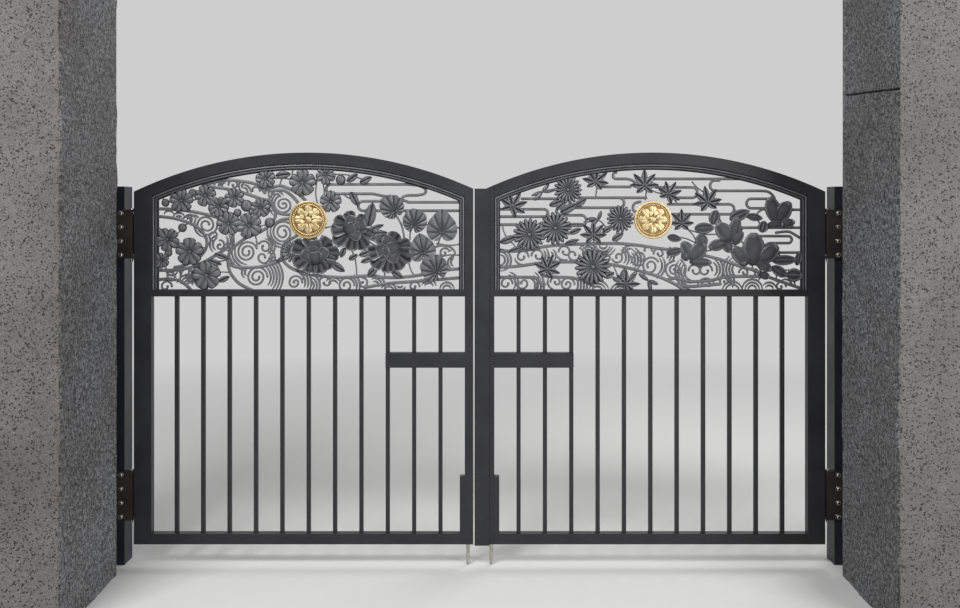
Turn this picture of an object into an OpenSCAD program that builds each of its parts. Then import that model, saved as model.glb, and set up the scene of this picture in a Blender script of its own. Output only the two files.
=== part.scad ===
// Double-leaf driveway gate between granite pillars.
// +X to the right, +Y inward from the road, +Z up, millimetres.
// The origin is on the ground, at the centre of the whole gateway's footprint.

/* [Gateway] */
// Clear width between the two steel posts
opening_w = 3128; // [2800:1:3800]
// Height of the arch above the ground, at its middle
peak_h = 1819; // [1780:1:2200]
// Height of the arch above the ground, at its two ends
arch_end_h = 1647; // [1560:1:1700]
// Gap between the two meeting stiles
meeting_gap = 56; // [48:1:70]
// Clearance under the leaves
ground_gap = 94; // [60:1:120]

/* [Leaf frame] */
// Front-to-back depth of the frame
frame_d = 40; // [36:1:50]
// Width of the hinge stile
hinge_stile_w = 78; // [60:1:95]
// Width of the meeting stile
meeting_stile_w = 37; // [32:1:46]
// Plain face of the arch rail
arch_face = 50; // [40:1:62]
// Width of the stepped moulding round the panel
moulding_w = 26; // [20:1:32]
// Height of the rail under the panel
mid_rail_h = 30; // [24:1:38]
// Height of the panel's sill above the ground
sill_h = 1215; // [1010:1:1300]
// Height of the bottom rail
bottom_rail_h = 47; // [38:1:58]
// Height of the lock rail
lock_rail_h = 65; // [50:1:80]
// Height of the lock rail's middle above the ground
lock_rail_z = 904; // [700:1:1000]
// Bars in each leaf
bar_count = 11; // [9:1:13]
// Side of a square bar
bar_side = 18; // [14:1:22]

/* [Hinges] */
// From the steel post to the hinge axis
axis_inset = 26; // [26:1:34]
// From the hinge axis to the leaf
axis_to_leaf = 16; // [16:1:20]
// Height of a hinge bracket
bracket_h = 215; // [170:1:260]
// Height of the upper bracket's middle
upper_hinge_z = 1460; // [1300:1:1500]
// Height of the lower bracket's middle
lower_hinge_z = 308; // [260:1:400]
// Diameter of a hinge pin
hinge_pin_d = 12; // [10:1:14]
// Wall of the barrels and lugs round the pin
barrel_wall = 5; // [4:0.5:6]

/* [Posts and pillars] */
// Side of the square steel posts
post_side = 100; // [80:1:120]
// Wall of the steel posts
post_wall = 6; // [4:1:8]
// Height of the steel posts
post_h = 1670; // [1650:1:2200]
// Granite pillar, across the gateway
pillar_w = 600; // [450:1:750]
// Granite pillar, along the driveway
pillar_d = 590; // [450:1:750]
// Granite pillar's height
pillar_h = 2750; // [2200:1:3300]
// How far each pillar's inner face stands past its steel post
pillar_overlap = 22; // [10:1:30]
// From the leaf's front face to the pillar's back face
pillar_setback = 117; // [90:1:160]

/* [Drop bolts] */
// Diameter of a drop bolt
bolt_d = 16; // [12:1:18]
// How far a drop bolt lifts
bolt_lift = 90; // [60:1:110]
// Height of the bolt case
bolt_case_h = 251; // [200:1:300]
// Width of the bolt case
bolt_case_w = 22; // [18:1:30]

/* [Ornament] */
// Width of the flowing-water and mist bands
band_w = 12; // [9:0.5:14]
// Thickness of the band layer
band_t = 10; // [6:1:12]
// Thickness of the flowers in front of it
flower_t = 8; // [6:1:9]
// Radius of the round medallion
medallion_r = 84; // [70:1:95]

/* [Hidden] */
$fn = 64;

// Running clearances
swing_gap = 6;
pin_fit = 0.05;
barrel_fit = 0.1;
bolt_fit = 0.5;
washer_gap = 2;

// Leaf, measured outward from the gateway's middle plane
axis_x = opening_w / 2 - axis_inset;
leaf_outer = axis_x - axis_to_leaf;
leaf_inner = meeting_gap / 2;
stile_in = leaf_inner + meeting_stile_w;
stile_out = leaf_outer - hinge_stile_w;
rise = peak_h - arch_end_h;
arch_x = leaf_outer / 2;
arch_r = leaf_outer * leaf_outer / 8 / rise + rise / 2;
arch_z = peak_h - arch_r;
sill_bottom = sill_h - mid_rail_h;
bottom_rail_top = ground_gap + bottom_rail_h;
bar_gap = (stile_out - stile_in - bar_count * bar_side) / (bar_count + 1);
bar_pitch = bar_gap + bar_side;

// Whole footprint, from the pillars' front to the steel posts' back
post_front = -13;
post_back = post_front + post_side;
pillar_back = -frame_d / 2 - pillar_setback;
pillar_front = pillar_back - pillar_d;
shift_y = -(pillar_front + post_back) / 2;
pillar_face = opening_w / 2 - pillar_overlap;

// Hinges
lug_r = hinge_pin_d / 2 + barrel_wall;
lug_h = 14;
bracket_t = 9;
bracket_reach = 56;
barrel_h = bracket_h - 2 * lug_h - 2 * washer_gap;
cap_cone_h = 22;
hinge_heights = [lower_hinge_z, upper_hinge_z];

// Meeting edge and drop bolts
astragal_t = 6;
astragal_edge = leaf_inner - swing_gap;
astragal_w = 65;
astragal_foot = ground_gap - 4;
astragal_top = arch_z + sqrt(pow(arch_r, 2) - pow(arch_x - leaf_inner, 2));
bolt_x = leaf_inner + meeting_stile_w / 2 + 5;
bolt_tip = 2;
bolt_len = 400;
knob_z = 230;
knob_d = 20;
knob_arm_d = 9;
slot_w = knob_arm_d + 2;
bore_r = bolt_d / 2 + bolt_fit;

// Ornament grid: the panel is drawn on squares, 300 across and 120 up at its middle
panel_in = stile_in + moulding_w;
panel_out = stile_out - moulding_w;
panel_w = panel_out - panel_in;
panel_h = peak_h - arch_face - moulding_w - sill_h;
squares_x = 300;
squares_z = 120;
gx = panel_w / squares_x;
gz = panel_h / squares_z;
unit = max(gx, gz);
band_front = -4;
flower_back = band_front;
medallion_col_left = 149.5;
medallion_col_right = 152.5;
medallion_row = 70;
thread_w = 7;
eye_d = 11;
ripple_pitch = 3;
scroll_pitch = 4;
smallest_turn = 2.2;
eye_inset = 0.4;
round_end = 0.92;
petal_t = 0.6 * flower_t;
leaf_gap = 0.3;
rib_w = 2.4;
rim_w = 7;
petal_rim = 3;

// Everything under the arch's circle, less an inset
module under_arch(inset) {
    r = arch_r - inset;
    translate([arch_x, arch_z]) circle(r = r, $fn = 256);
    if (arch_z > 0) translate([arch_x - r, 0]) square([2 * r, arch_z]);
}

// The leaf's or the panel's outline in the leaf's own plane
module leaf_outline(inset_side, inset_arch, floor_z) {
    intersection() {
        under_arch(inset_arch);
        translate([leaf_inner + inset_side[0], floor_z])
            square([leaf_outer - leaf_inner - inset_side[0] - inset_side[1], peak_h]);
    }
}

module panel_outline(inset) {
    leaf_outline(
        [meeting_stile_w + inset, hinge_stile_w + inset],
        arch_face + inset,
        sill_h
    );
}

// A flat outline in X and Z, stood up between two depths
module stand(y_front, y_back) {
    translate([0, y_back, 0])
        rotate([90, 0, 0])
            linear_extrude(y_back - y_front) children();
}

module in_frame() {
    translate([0, shift_y, 0]) children();
}

module to_side(side) {
    if (side > 0) children();
    else mirror([1, 0, 0]) children();
}

// Pillars and posts
module granite_pillar(side) {
    color([0.62, 0.61, 0.6])
        in_frame()
            to_side(side)
                translate([pillar_face, pillar_front, 0])
                    cube([pillar_w, pillar_d, pillar_h]);
}

module steel_post(side) {
    hollow = post_side - 2 * post_wall;
    color([0.09, 0.1, 0.14])
        in_frame()
            to_side(side)
                translate([opening_w / 2, post_front, 0])
                    difference() {
                        cube([post_side, post_side, post_h]);
                        translate([post_wall, post_wall, -1])
                            cube([hollow, hollow, post_h - post_wall + 1]);
                    }
}

// Hinges: a bracket bolted to the post, with two lugs that hold the pin
module lug(z) {
    translate([0, 0, z])
        difference() {
            union() {
                cylinder(r = lug_r, h = lug_h);
                translate([0, post_front, 0])
                    cube([axis_inset, lug_r - post_front, lug_h]);
                translate([-lug_r, post_front, 0])
                    cube([lug_r, -post_front, lug_h]);
            }
            translate([0, 0, -1])
                cylinder(r = hinge_pin_d / 2 + pin_fit, h = lug_h + 2);
        }
}

module hinge_brackets(side) {
    color([0.12, 0.12, 0.13])
        in_frame()
            to_side(side)
                for (z = hinge_heights)
                    translate([axis_x, 0, z - bracket_h / 2]) {
                        translate([-lug_r, post_front - bracket_t, 0])
                            cube([lug_r + axis_inset + bracket_reach, bracket_t, bracket_h]);
                        lug(0);
                        lug(bracket_h - lug_h);
                    }
}

module hinge_pins(side) {
    head_h = 5;
    color([0.7, 0.7, 0.72])
        in_frame()
            to_side(side)
                for (z = hinge_heights)
                    translate([axis_x, 0, z - bracket_h / 2]) {
                        cylinder(d = hinge_pin_d, h = bracket_h);
                        translate([0, 0, bracket_h])
                            cylinder(r = lug_r - 1, h = head_h);
                        translate([0, 0, -cap_cone_h])
                            cylinder(r1 = 3, r2 = lug_r - 1, h = cap_cone_h);
                    }
}

module hinge_barrels(side) {
    strap_t = 12;
    color([0.16, 0.16, 0.17])
        in_frame()
            to_side(side)
                for (z = hinge_heights)
                    translate([axis_x, 0, z - barrel_h / 2])
                        difference() {
                            union() {
                                cylinder(r = lug_r, h = barrel_h);
                                translate([-axis_to_leaf, -strap_t / 2, 0])
                                    cube([axis_to_leaf, strap_t, barrel_h]);
                            }
                            translate([0, 0, -1])
                                cylinder(r = hinge_pin_d / 2 + barrel_fit, h = barrel_h + 2);
                        }
}

// Leaf frame
module hinge_stile(side) {
    color([0.17, 0.17, 0.18])
        in_frame()
            to_side(side)
                stand(-frame_d / 2, frame_d / 2)
                    leaf_outline([stile_out - leaf_inner, 0], 0, ground_gap);
}

module meeting_stile(side) {
    bore_top = bolt_tip + bolt_len + bolt_lift + 6;
    color([0.17, 0.17, 0.18])
        in_frame()
            to_side(side)
                difference() {
                    stand(-frame_d / 2, frame_d / 2)
                        leaf_outline([0, leaf_outer - stile_in], 0, ground_gap);
                    translate([bolt_x, 0, ground_gap - 1])
                        cylinder(r = bore_r, h = bore_top - ground_gap + 1);
                    translate([bolt_x - slot_w / 2, 0, knob_z - slot_w / 2])
                        cube([slot_w, frame_d, slot_w + bolt_lift]);
                }
}

module arch_rail(side) {
    color([0.18, 0.18, 0.19])
        in_frame()
            to_side(side)
                stand(-frame_d / 2, frame_d / 2)
                    difference() {
                        leaf_outline([meeting_stile_w, hinge_stile_w], 0, sill_h);
                        under_arch(arch_face);
                    }
}

module cross_rail(side, x0, x1, z, h) {
    color([0.17, 0.17, 0.18])
        in_frame()
            to_side(side)
                translate([x0, -frame_d / 2, z])
                    cube([x1 - x0, frame_d, h]);
}

module mid_rail(side) {
    cross_rail(side, stile_in, stile_out, sill_bottom, mid_rail_h);
}

module bottom_rail(side) {
    cross_rail(side, stile_in, stile_out, ground_gap, bottom_rail_h);
}

// The lock rail ends flush with the outer face of the third bar
lock_rail_end = stile_in + 3 * bar_pitch;

module lock_rail(side) {
    cross_rail(side, stile_in, lock_rail_end, lock_rail_z - lock_rail_h / 2, lock_rail_h);
}

module bars(side) {
    color([0.2, 0.2, 0.21])
        in_frame()
            to_side(side)
                difference() {
                    for (i = [1:bar_count])
                        translate([
                            stile_in + i * bar_pitch - bar_side,
                            -bar_side / 2,
                            bottom_rail_top
                        ])
                            cube([bar_side, bar_side, sill_bottom - bottom_rail_top]);
                    translate([0, -frame_d / 2, lock_rail_z - lock_rail_h / 2])
                        cube([lock_rail_end, frame_d, lock_rail_h]);
                }
}

// Two beads, the inner one lower, round the sides and the arch
module panel_moulding(side) {
    bead_w = moulding_w / 2;
    outer_d = frame_d - 6;
    inner_d = frame_d - 14;
    color([0.2, 0.2, 0.21])
        in_frame()
            to_side(side) {
                stand(-outer_d / 2, outer_d / 2)
                    difference() {
                        panel_outline(0);
                        panel_outline(bead_w);
                    }
                stand(-inner_d / 2, inner_d / 2)
                    difference() {
                        panel_outline(bead_w);
                        panel_outline(moulding_w);
                    }
            }
}

module astragal() {
    color([0.16, 0.16, 0.17])
        in_frame()
            translate([-astragal_edge, -frame_d / 2 - astragal_t, astragal_foot])
                cube([astragal_w, astragal_t, astragal_top - astragal_foot]);
}

// Drop bolts
module bolt_case(side) {
    color([0.15, 0.15, 0.16])
        in_frame()
            to_side(side)
                translate([stile_in, -frame_d / 2, bottom_rail_top])
                    cube([bolt_case_w, frame_d, bolt_case_h]);
}

module drop_bolt(side) {
    tip_h = 6;
    knob_y = frame_d / 2 + 14;
    color([0.75, 0.75, 0.77])
        in_frame()
            to_side(side)
                translate([bolt_x, 0, 0]) {
                    translate([0, 0, bolt_tip])
                        cylinder(d1 = bolt_d - 6, d2 = bolt_d, h = tip_h);
                    translate([0, 0, bolt_tip + tip_h])
                        cylinder(d = bolt_d, h = bolt_len - tip_h);
                    translate([0, 0, knob_z])
                        rotate([-90, 0, 0]) cylinder(d = knob_arm_d, h = knob_y);
                    translate([0, knob_y, knob_z])
                        sphere(d = knob_d);
                }
}

// Ornament: every place is a column and a row of the panel's grid, from its left end and its sill,
// and every radius and width below is in squares of that grid
function panel_left(side) = side > 0 ? panel_in : -panel_out;
function at(side, p) = [panel_left(side) + p[0] * gx, sill_h + p[1] * gz];
function polar(r, a) = r * [cos(a), sin(a)];

// A smooth curve through hand-placed points
function spline_point(p0, p1, p2, p3, t) =
    0.5 * (2 * p1 + t * (p2 - p0) + t * t * (2 * p0 - 5 * p1 + 4 * p2 - p3)
    + t * t * t * (3 * p1 - p0 - 3 * p2 + p3));
function spline(pts, steps = 3) = [
    for (i = [0:len(pts) - 2], k = [0:steps - 1])
        spline_point(
            pts[max(i - 1, 0)], pts[i], pts[i + 1], pts[min(i + 2, len(pts) - 1)], k / steps
        ),
    pts[len(pts) - 1]
];
function heading(pts, i) =
    let (d = pts[min(i + 1, len(pts) - 1)] - pts[max(i - 1, 0)]) d / norm(d);
function beside(pts, i, w) =
    let (d = heading(pts, i)) pts[i] + w * [-d[1], d[0]];
function ribbon(pts, w) = concat(
    [for (i = [0:len(pts) - 1]) beside(pts, i, w / 2)],
    [for (i = [len(pts) - 1:-1:0]) beside(pts, i, -w / 2)]
);

// A band along a route of grid points, with round ends
module band(side, route, w = band_w) {
    places = [for (p = route) at(side, p)];
    pts = len(places) > 2 ? spline(places) : places;
    polygon(ribbon(pts, w));
    for (p = [pts[0], pts[len(pts) - 1]]) translate(p) circle(d = round_end * w);
}

// Part of a ring round the origin, counter-clockwise from one angle to another
module arc(r, from, to, w) {
    steps = 6;
    reach = 4 * r;
    intersection() {
        difference() {
            circle(r = r + w / 2);
            circle(r = r - w / 2);
        }
        polygon(concat(
            [[0, 0]],
            [for (i = [0:steps]) polar(reach, from + i * (to - from) / steps)]
        ));
    }
    for (a = [from, to]) translate(polar(r, a)) circle(d = round_end * w);
}

// Arcs nested inside each other: [column, row, smallest radius, largest radius, from, to]
module ripples(side, set) {
    for (r = [set[2]:ripple_pitch:set[3]])
        translate(at(side, [set[0], set[1]]))
            arc(r * unit, set[4], set[5], thread_w);
}

// A scroll winds inward by half turns to a round eye:
// [column, row, radius, angle where it starts, 1 for counter-clockwise or -1]
module scroll(side, set) {
    step = scroll_pitch / 2;
    last = floor((set[2] - smallest_turn) / step);
    start = polar(unit, set[3]);
    for (k = [0:last]) {
        odd = k % 2;
        from = set[3] + 180 * (set[4] > 0 ? odd : 1 - odd);
        translate(at(side, [set[0], set[1]]) - odd * step * start)
            arc((set[2] - k * step) * unit, from, from + 180, thread_w);
    }
    inward = last % 2 == 0 ? -1 : 1;
    eye = (last % 2) * -step + inward * (set[2] - last * step - eye_inset);
    translate(at(side, [set[0], set[1]]) + eye * start) circle(d = eye_d);
}

// A straight mist bar: [row, from column, to column]
module mist_bar(side, bar) {
    a = at(side, [bar[1], bar[0]]);
    b = at(side, [bar[2], bar[0]]);
    translate([a[0], a[1] - band_w / 2]) square([b[0] - a[0], band_w]);
    for (p = [a, b]) translate(p) circle(d = round_end * band_w);
}

// Half a ring that joins two mist bars: [column, lower row, upper row, 1 bulging right or -1 left]
module mist_turn(side, turn) {
    r = (turn[2] - turn[1]) * gz / 2;
    translate(at(side, [turn[0], (turn[1] + turn[2]) / 2]))
        difference() {
            circle(r = r + band_w / 2);
            circle(r = r - band_w / 2);
            translate([turn[3] > 0 ? -2 * r : 0, -2 * r]) square([2 * r, 4 * r]);
        }
}

// Left panel: flowing water between its borders
left_streams = [
    [[-4, 81], [14, 80.5], [28, 79], [42, 76.5], [56, 73], [66, 69], [73, 60], [73.5, 50],
        [68, 42], [58, 35], [46, 28], [32, 22], [16, 19.5], [-4, 19]],
    [[-4, 73.5], [12, 72], [24, 69], [36, 64], [44, 57], [48, 49], [47, 41], [40, 32], [28, 25],
        [16, 22]],
    [[45, 105], [62, 109], [75, 109.5], [90, 107.5], [100, 104], [106, 97]],
    [[48, 103.5], [65, 101.5], [80, 98.5], [92, 94.5], [102, 91], [110, 89], [115, 84], [117, 76],
        [114, 68], [108, 62], [100, 57], [88, 52], [78, 45], [71, 37], [69, 29], [74, 23.5],
        [84, 22], [100, 22.5], [114, 26], [124, 30]],
    [[110, 101], [120, 104], [128, 102], [138, 97], [147, 89]],
    [[112, 99], [124, 99.5], [133, 94], [140, 86]],
    [[69, 29], [71, 18], [78, 8], [86, 2.5], [96, -2]],
    [[138, 54], [126, 46], [123, 38], [124, 30], [130, 23], [140, 18], [150, 15], [165, 13],
        [185, 12], [208, 13.5], [225, 12], [240, 12], [262, 14.5], [280, 18.5], [304, 21]],
    [[206, 2], [230, 6], [250, 7.5], [275, 9.5], [304, 12]], [[116, 79], [122, 76], [132, 75]],
    [[116, 66], [123, 70], [132, 71]], [[-4, 9], [8, 10.5], [20, 9], [30, 2], [34, -4]]
];
left_threads = [
    [[236, 76], [242, 66], [245, 54], [245, 44]],
    [[264, 34], [278, 43], [290, 43], [296, 37], [292, 30]]
];
left_stalks = [
    [[0, 62], [9, 50]], [[9, 50], [24, 62]], [[9, 50], [3, 29]], [[3, 29], [9, 19]],
    [[24, 62], [31, 67]], [[3, 95], [7, 87]], [[7, 87], [23, 89]], [[23, 89], [47, 94]],
    [[23, 89], [24, 79]], [[47, 94], [49, 104]], [[47, 94], [60, 83]], [[60, 83], [76, 92]],
    [[60, 83], [70, 66]], [[76, 92], [88, 84]], [[88, 84], [102, 82]], [[102, 82], [116, 79]],
    [[70, 66], [90.5, 64]], [[90.5, 64], [114, 67]], [[31, 38], [47, 42]], [[31, 38], [24, 24]],
    [[48, 14], [72, 17]], [[48, 14], [38, 24]], [[48, 14], [48, -2]], [[58, 28], [70, 31]],
    [[98, 118], [107, 111]], [[107, 111], [107, 98]], [[107, 111], [144, 107]],
    [[144, 107], [167, 115]], [[167, 115], [206, 110]], [[144, 107], [147, 86]],
    [[172, 88], [172, 99]], [[158, 82], [172, 88]], [[121, 103], [123, 111]],
    [[134, 121], [135, 99]], [[159, 84], [158, 109]], [[164, 86], [163, 112]],
    [[195, 90], [184, 96]], [[195, 63], [163, 61]], [[212, 64], [216, 80]], [[195, 63], [228, 38]],
    [[228, 38], [263, 42]], [[178, 44], [163, 54]], [[190, 46], [198, 12]], [[253, 62], [251, 50]],
    [[281, 54], [278, 44]], [[256, 69], [283, 64]], [[283, 64], [304, 60]], [[278, 46], [304, 46]],
    [[276, 31], [304, 34]], [[250, 26], [256, 13]], [[155, 36], [150, 15]], [[228, 38], [226, 12]],
    [[233, 83], [238, 92]], [[97.9, 41.2], [96, 55]], [[100.2, 45.8], [97, 48]],
    [[110.5, 32], [116, 27]], [[143.4, 7], [146, 16]], [[290.1, 38.5], [294, 41]]
];
left_scrolls = [
    [35.5, 70.5, 4, 30, 1], [48.5, 65, 10, 10, -1], [55, 53, 4.4, 250, -1], [61, 45, 4.4, 90, -1],
    [59, 105.5, 3.4, 180, -1], [74, 105, 4.4, 180, -1], [97, 99, 4, 0, 1], [124, 86, 8.6, 120, 1],
    [124.5, 58, 10, 60, 1], [89, 38, 9.5, 20, 1], [105, 43, 5.5, 150, -1], [105, 32, 5.5, 0, -1],
    [99, 12.5, 9.6, 0, 1], [137, 7, 6.4, 0, 1], [166, 7, 5.6, 200, -1], [188, 4, 7.4, 0, 1],
    [204, 7, 4.4, 90, -1], [286, 37, 4.4, 20, 1], [14, 14, 5.4, 60, 1], [28, 15, 5.6, 200, -1],
    [8, 3, 5, 0, 1], [256, 3, 4.6, 0, 1]
];
left_ripples = [
    [48.5, 65, 13, 13, 150, 250], [124.5, 58, 13, 16, 160, 280], [89, 38, 13, 19, 165, 265],
    [99, 12.5, 13, 25, -40, 60], [137, 7, 9.5, 15.5, -30, 66], [90, 17, 4, 7, 130, 235],
    [296, 27, 4, 7, 110, 250], [288, 0, 4, 7, 0, 180], [84, 97.3, 5, 8, -5, 95],
    [117, 91, 5, 8, 20, 130], [10, 74, 5, 5, 20, 160], [230, -2, 5, 8, 20, 160]
];

// Mist bars, and the curves that lead from one to the next
left_mist_rows = [
    [105.5, 172, 250], [96, 172, 216], [94.5, 248, 260], [88.5, 204, 222], [79, 204, 304],
    [87.5, 248, 304]
];
left_mist_turns = [
    [172, 96, 105.5, -1], [204, 79, 88.5, -1]
];
left_mist_curves = [
    [[248, 105.5], [258, 104.5], [265, 102], [267, 99], [265, 96], [258, 94.5]],
    [[250, 94.5], [245, 93.5], [242, 90]], [[214, 96], [226, 93.5], [238, 91.5], [250, 87.5]],
    [[221, 88.5], [226, 92]]
];

// Right panel
right_streams = [
    [[-4, 38.5], [14, 38.5], [30, 40], [45, 43], [60, 44.5], [80, 45.5], [100, 46], [120, 46],
        [140, 44], [160, 41], [172, 39.5], [190, 37], [205, 34], [220, 30], [232, 26], [243, 22],
        [255, 19], [262, 15], [272, 11], [286, 6], [304, 0]],
    [[-4, 22], [15, 23], [30, 25], [45, 27], [60, 27.5], [75, 27.5], [85, 26.5], [110, 25],
        [130, 21], [143, 17.5], [155, 14], [165, 10], [175, 5], [186, -2]],
    [[168, 10], [176, 11], [188, 8], [200, 8], [213, 9.5], [225, 12.5], [240, 13], [260, 13]],
    [[175, 5], [190, 3], [205, 4], [220, 5.5]], [[-4, 12], [30, 12], [38, 10], [42, 4]],
    [[42, 14], [52, 12.5], [65, 12], [75, 11], [85, 8], [92, 4]]
];
right_threads = [
    [[254, 73], [262, 80], [275, 78], [293, 80]]
];
right_stalks = [
    [[0, 97], [12, 83]], [[12, 83], [15, 72]], [[30, 40], [29, 55]], [[29, 55], [55, 61.5]],
    [[55, 61.5], [84, 66]], [[2, 66], [8, 50]], [[8, 50], [18, 38]], [[36, 90], [42, 98]],
    [[42, 98], [67.5, 100]], [[42, 98], [48, 106]], [[67.5, 100], [69, 81]],
    [[67.5, 100], [86, 91]], [[95, 119], [95, 91]], [[93, 45], [93, 54]], [[93, 54], [106, 62]],
    [[84, 68], [98, 70]], [[98, 70], [106, 62]], [[106, 62], [120, 71]], [[117, 45], [120, 71]],
    [[120, 71], [138, 74]], [[144, 121], [145, 90]], [[144, 104], [168, 95]],
    [[168, 95], [178, 85]], [[192, 108], [205, 97]], [[205, 97], [207, 84]], [[197, 46], [188, 60]],
    [[188, 60], [181, 66]], [[181, 66], [177, 76]], [[173, 53], [197, 46]], [[188, 60], [225, 56]],
    [[168, 38], [198, 38]], [[225, 56], [215, 77]], [[225, 56], [240, 74]], [[240, 74], [254, 73]],
    [[254, 73], [262, 61]], [[225, 56], [222, 44]], [[222, 44], [200, 38]], [[236, 54], [253, 40]],
    [[243, 62], [236, 54]], [[253, 40], [253, 18]], [[253, 40], [280, 36]], [[283, 30], [304, 31]],
    [[277, 36], [283, 30]], [[262, 31], [278, 19]], [[278, 19], [304, 16]], [[278, 19], [276, 8]],
    [[35, 27], [47, 20]], [[47, 20], [47, 12]], [[92.5, 27], [93, 3]], [[113, 25], [125, 5]],
    [[125, 5], [121, -3]], [[143, 18], [148, 9]], [[148, 9], [152, -3]], [[230, 55], [232, 44]],
    [[288, 67], [290, 61]]
];
right_scrolls = [
    [23, 33, 5.4, 0, 1], [37, 34, 5.6, 180, -1], [64, 38, 5.4, 180, -1], [74, 34.5, 5.4, 0, -1],
    [104, 32, 5.6, 180, 1], [117, 32, 5, 200, 1], [139, 32, 5.2, 180, -1], [148, 39, 3.8, 0, 1],
    [158, 36, 4.6, 180, -1], [151, 24, 8, 30, 1], [174, 20, 8.4, 90, 1], [194, 19, 5.6, 180, -1],
    [206, 19, 6, 0, 1], [243, 17, 4.2, 180, -1], [224, 8, 4.2, 180, -1], [281, 3, 4.6, 0, 1],
    [7, 6, 5.4, 0, 1], [55, 7.5, 4.6, 180, -1], [68, 5, 6.4, 0, 1], [22, 6, 5.2, 180, 1]
];
right_ripples = [
    [0, 29.5, 5, 11, -90, 90], [49, 34, 4, 7, -45, 60], [76, 34.5, 8, 11, -50, 60],
    [103, 45, 4, 7, 190, 350], [118, 32, 8, 11, -45, 70], [151, 24, 11, 14, -70, 40],
    [193, 18, 9, 15, 150, 260], [209, 20, 8, 11, -50, 60], [240, 20, 8, 11, 130, 240],
    [232, -2, 7, 10, 10, 170], [252, 0, 4, 10, 0, 180], [269, 0, 4, 7, 10, 150],
    [28, 3, 8, 8, -30, 70], [42, 3, 4, 4, 20, 160], [68, 5, 10, 10, -45, 45],
    [97, -3, 6, 12, 20, 160], [130, 36, 5, 8, 60, 200]
];

right_mist_rows = [
    [91, 22, 58], [92, 80, 146], [82, 60, 119], [80.5, -4, 44], [73, -4, 44], [65, -4, 18],
    [74.5, 60, 81], [64, 60, 81], [117.5, 116, 118], [111, 116, 128], [111, 153, 242],
    [103, 101, 130], [102.5, 156, 192], [92, 176, 192], [85.5, 168, 200], [85.5, 216, 229],
    [75.5, 172, 229], [109.5, 215, 219], [99, 215, 260], [91, 251, 268], [81.5, 251, 268],
    [80, 290, 304], [62, 241, 304], [53.5, 260, 288], [46.5, 268, 288], [37, 276, 304]
];
right_mist_turns = [
    [44, 73, 80.5, 1], [119, 82, 92, 1], [60, 74.5, 82, -1], [81, 64, 74.5, 1],
    [116, 111, 117.5, -1], [192, 92, 102.5, 1], [229, 75.5, 85.5, 1], [215, 99, 109.5, -1],
    [251, 81.5, 91, -1], [288, 46.5, 53.5, 1]
];
right_mist_curves = [
    [[127, 111], [133, 109], [137, 104]], [[258, 99], [268, 98], [274, 92], [274, 86]],
    [[270, 46.5], [266, 45], [264, 40]], [[276, 57], [288, 58], [296, 54], [304, 49]],
    [[140, 88], [134, 86], [133, 80], [138, 76]], [[240, 111], [250, 109.5], [258, 108]]
];

module water_outline(side, streams, threads, stalks, scrolls, ripple_sets, medallion_col) {
    for (route = streams) band(side, route);
    for (route = concat(threads, stalks)) band(side, route, thread_w);
    for (set = scrolls) scroll(side, set);
    for (set = ripple_sets) ripples(side, set);
    translate(at(side, [medallion_col, medallion_row])) circle(r = medallion_r - 10);
}

module left_water() {
    water_outline(
        -1, left_streams, left_threads, left_stalks, left_scrolls, left_ripples, medallion_col_left
    );
}

module right_water() {
    water_outline(
        1, right_streams, right_threads, right_stalks, right_scrolls, right_ripples, medallion_col_right
    );
}

module mist_outline(side, mist, turns, curves) {
    for (m = mist) mist_bar(side, m);
    for (t = turns) mist_turn(side, t);
    for (c = curves) band(side, c);
}

// The casting fills the moulding, a hair short of it along the arch
module casting_field() {
    leaf_outline(
        [meeting_stile_w + moulding_w, hinge_stile_w + moulding_w],
        arch_face + moulding_w + leaf_gap,
        sill_h
    );
}

module panel_clip(side) {
    intersection() {
        if (side > 0) casting_field();
        else mirror([1, 0]) casting_field();
        children();
    }
}

module band_layer(side) {
    color([0.19, 0.19, 0.2])
        in_frame()
            stand(band_front, band_front + band_t)
                panel_clip(side) children();
}

module left_water_scrolls() {
    band_layer(-1) left_water();
}

module left_mist_bars() {
    band_layer(-1)
        difference() {
            mist_outline(-1, left_mist_rows, left_mist_turns, left_mist_curves);
            left_water();
        }
}

module right_water_scrolls() {
    band_layer(1) right_water();
}

module right_mist_bars() {
    band_layer(1)
        difference() {
            mist_outline(1, right_mist_rows, right_mist_turns, right_mist_curves);
            right_water();
        }
}

// Flowers stand on the front of the bands: a base, with its relief on top
module relief(side, from, to) {
    color([0.24, 0.24, 0.25])
        in_frame()
            stand(flower_back - to, flower_back - from)
                panel_clip(side) children();
}

module place(side, p, turn = 0) {
    translate(at(side, p)) rotate(turn) children();
}

module medallion_disc(side, grow = 0) {
    col = side > 0 ? medallion_col_right : medallion_col_left;
    place(side, [col, medallion_row]) circle(r = medallion_r + grow);
}

// An almond outline along X, from the origin
module almond(l, w) {
    r = (l * l / 4 + w * w / 4) / w;
    intersection() {
        translate([l / 2, r - w / 2]) circle(r = r);
        translate([l / 2, w / 2 - r]) circle(r = r);
    }
}

// Leaves and long petals: [foot, tip, width]
module leaves(side, list, grow = 0) {
    for (leaf = list) {
        a = at(side, leaf[0]);
        b = at(side, leaf[1]);
        way = atan2(b[1] - a[1], b[0] - a[0]);
        translate(a - polar(grow, way))
            rotate(way) almond(norm(b - a) + 2 * grow, leaf[2] * unit + 2 * grow);
    }
}

module midribs(side, list) {
    for (leaf = list) {
        a = at(side, leaf[0]);
        b = at(side, leaf[1]);
        rotate_way = atan2(b[1] - a[1], b[0] - a[0]);
        translate(a)
            rotate(rotate_way)
                translate([0.1 * norm(b - a), -rib_w / 2]) square([0.8 * norm(b - a), rib_w]);
    }
}

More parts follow.
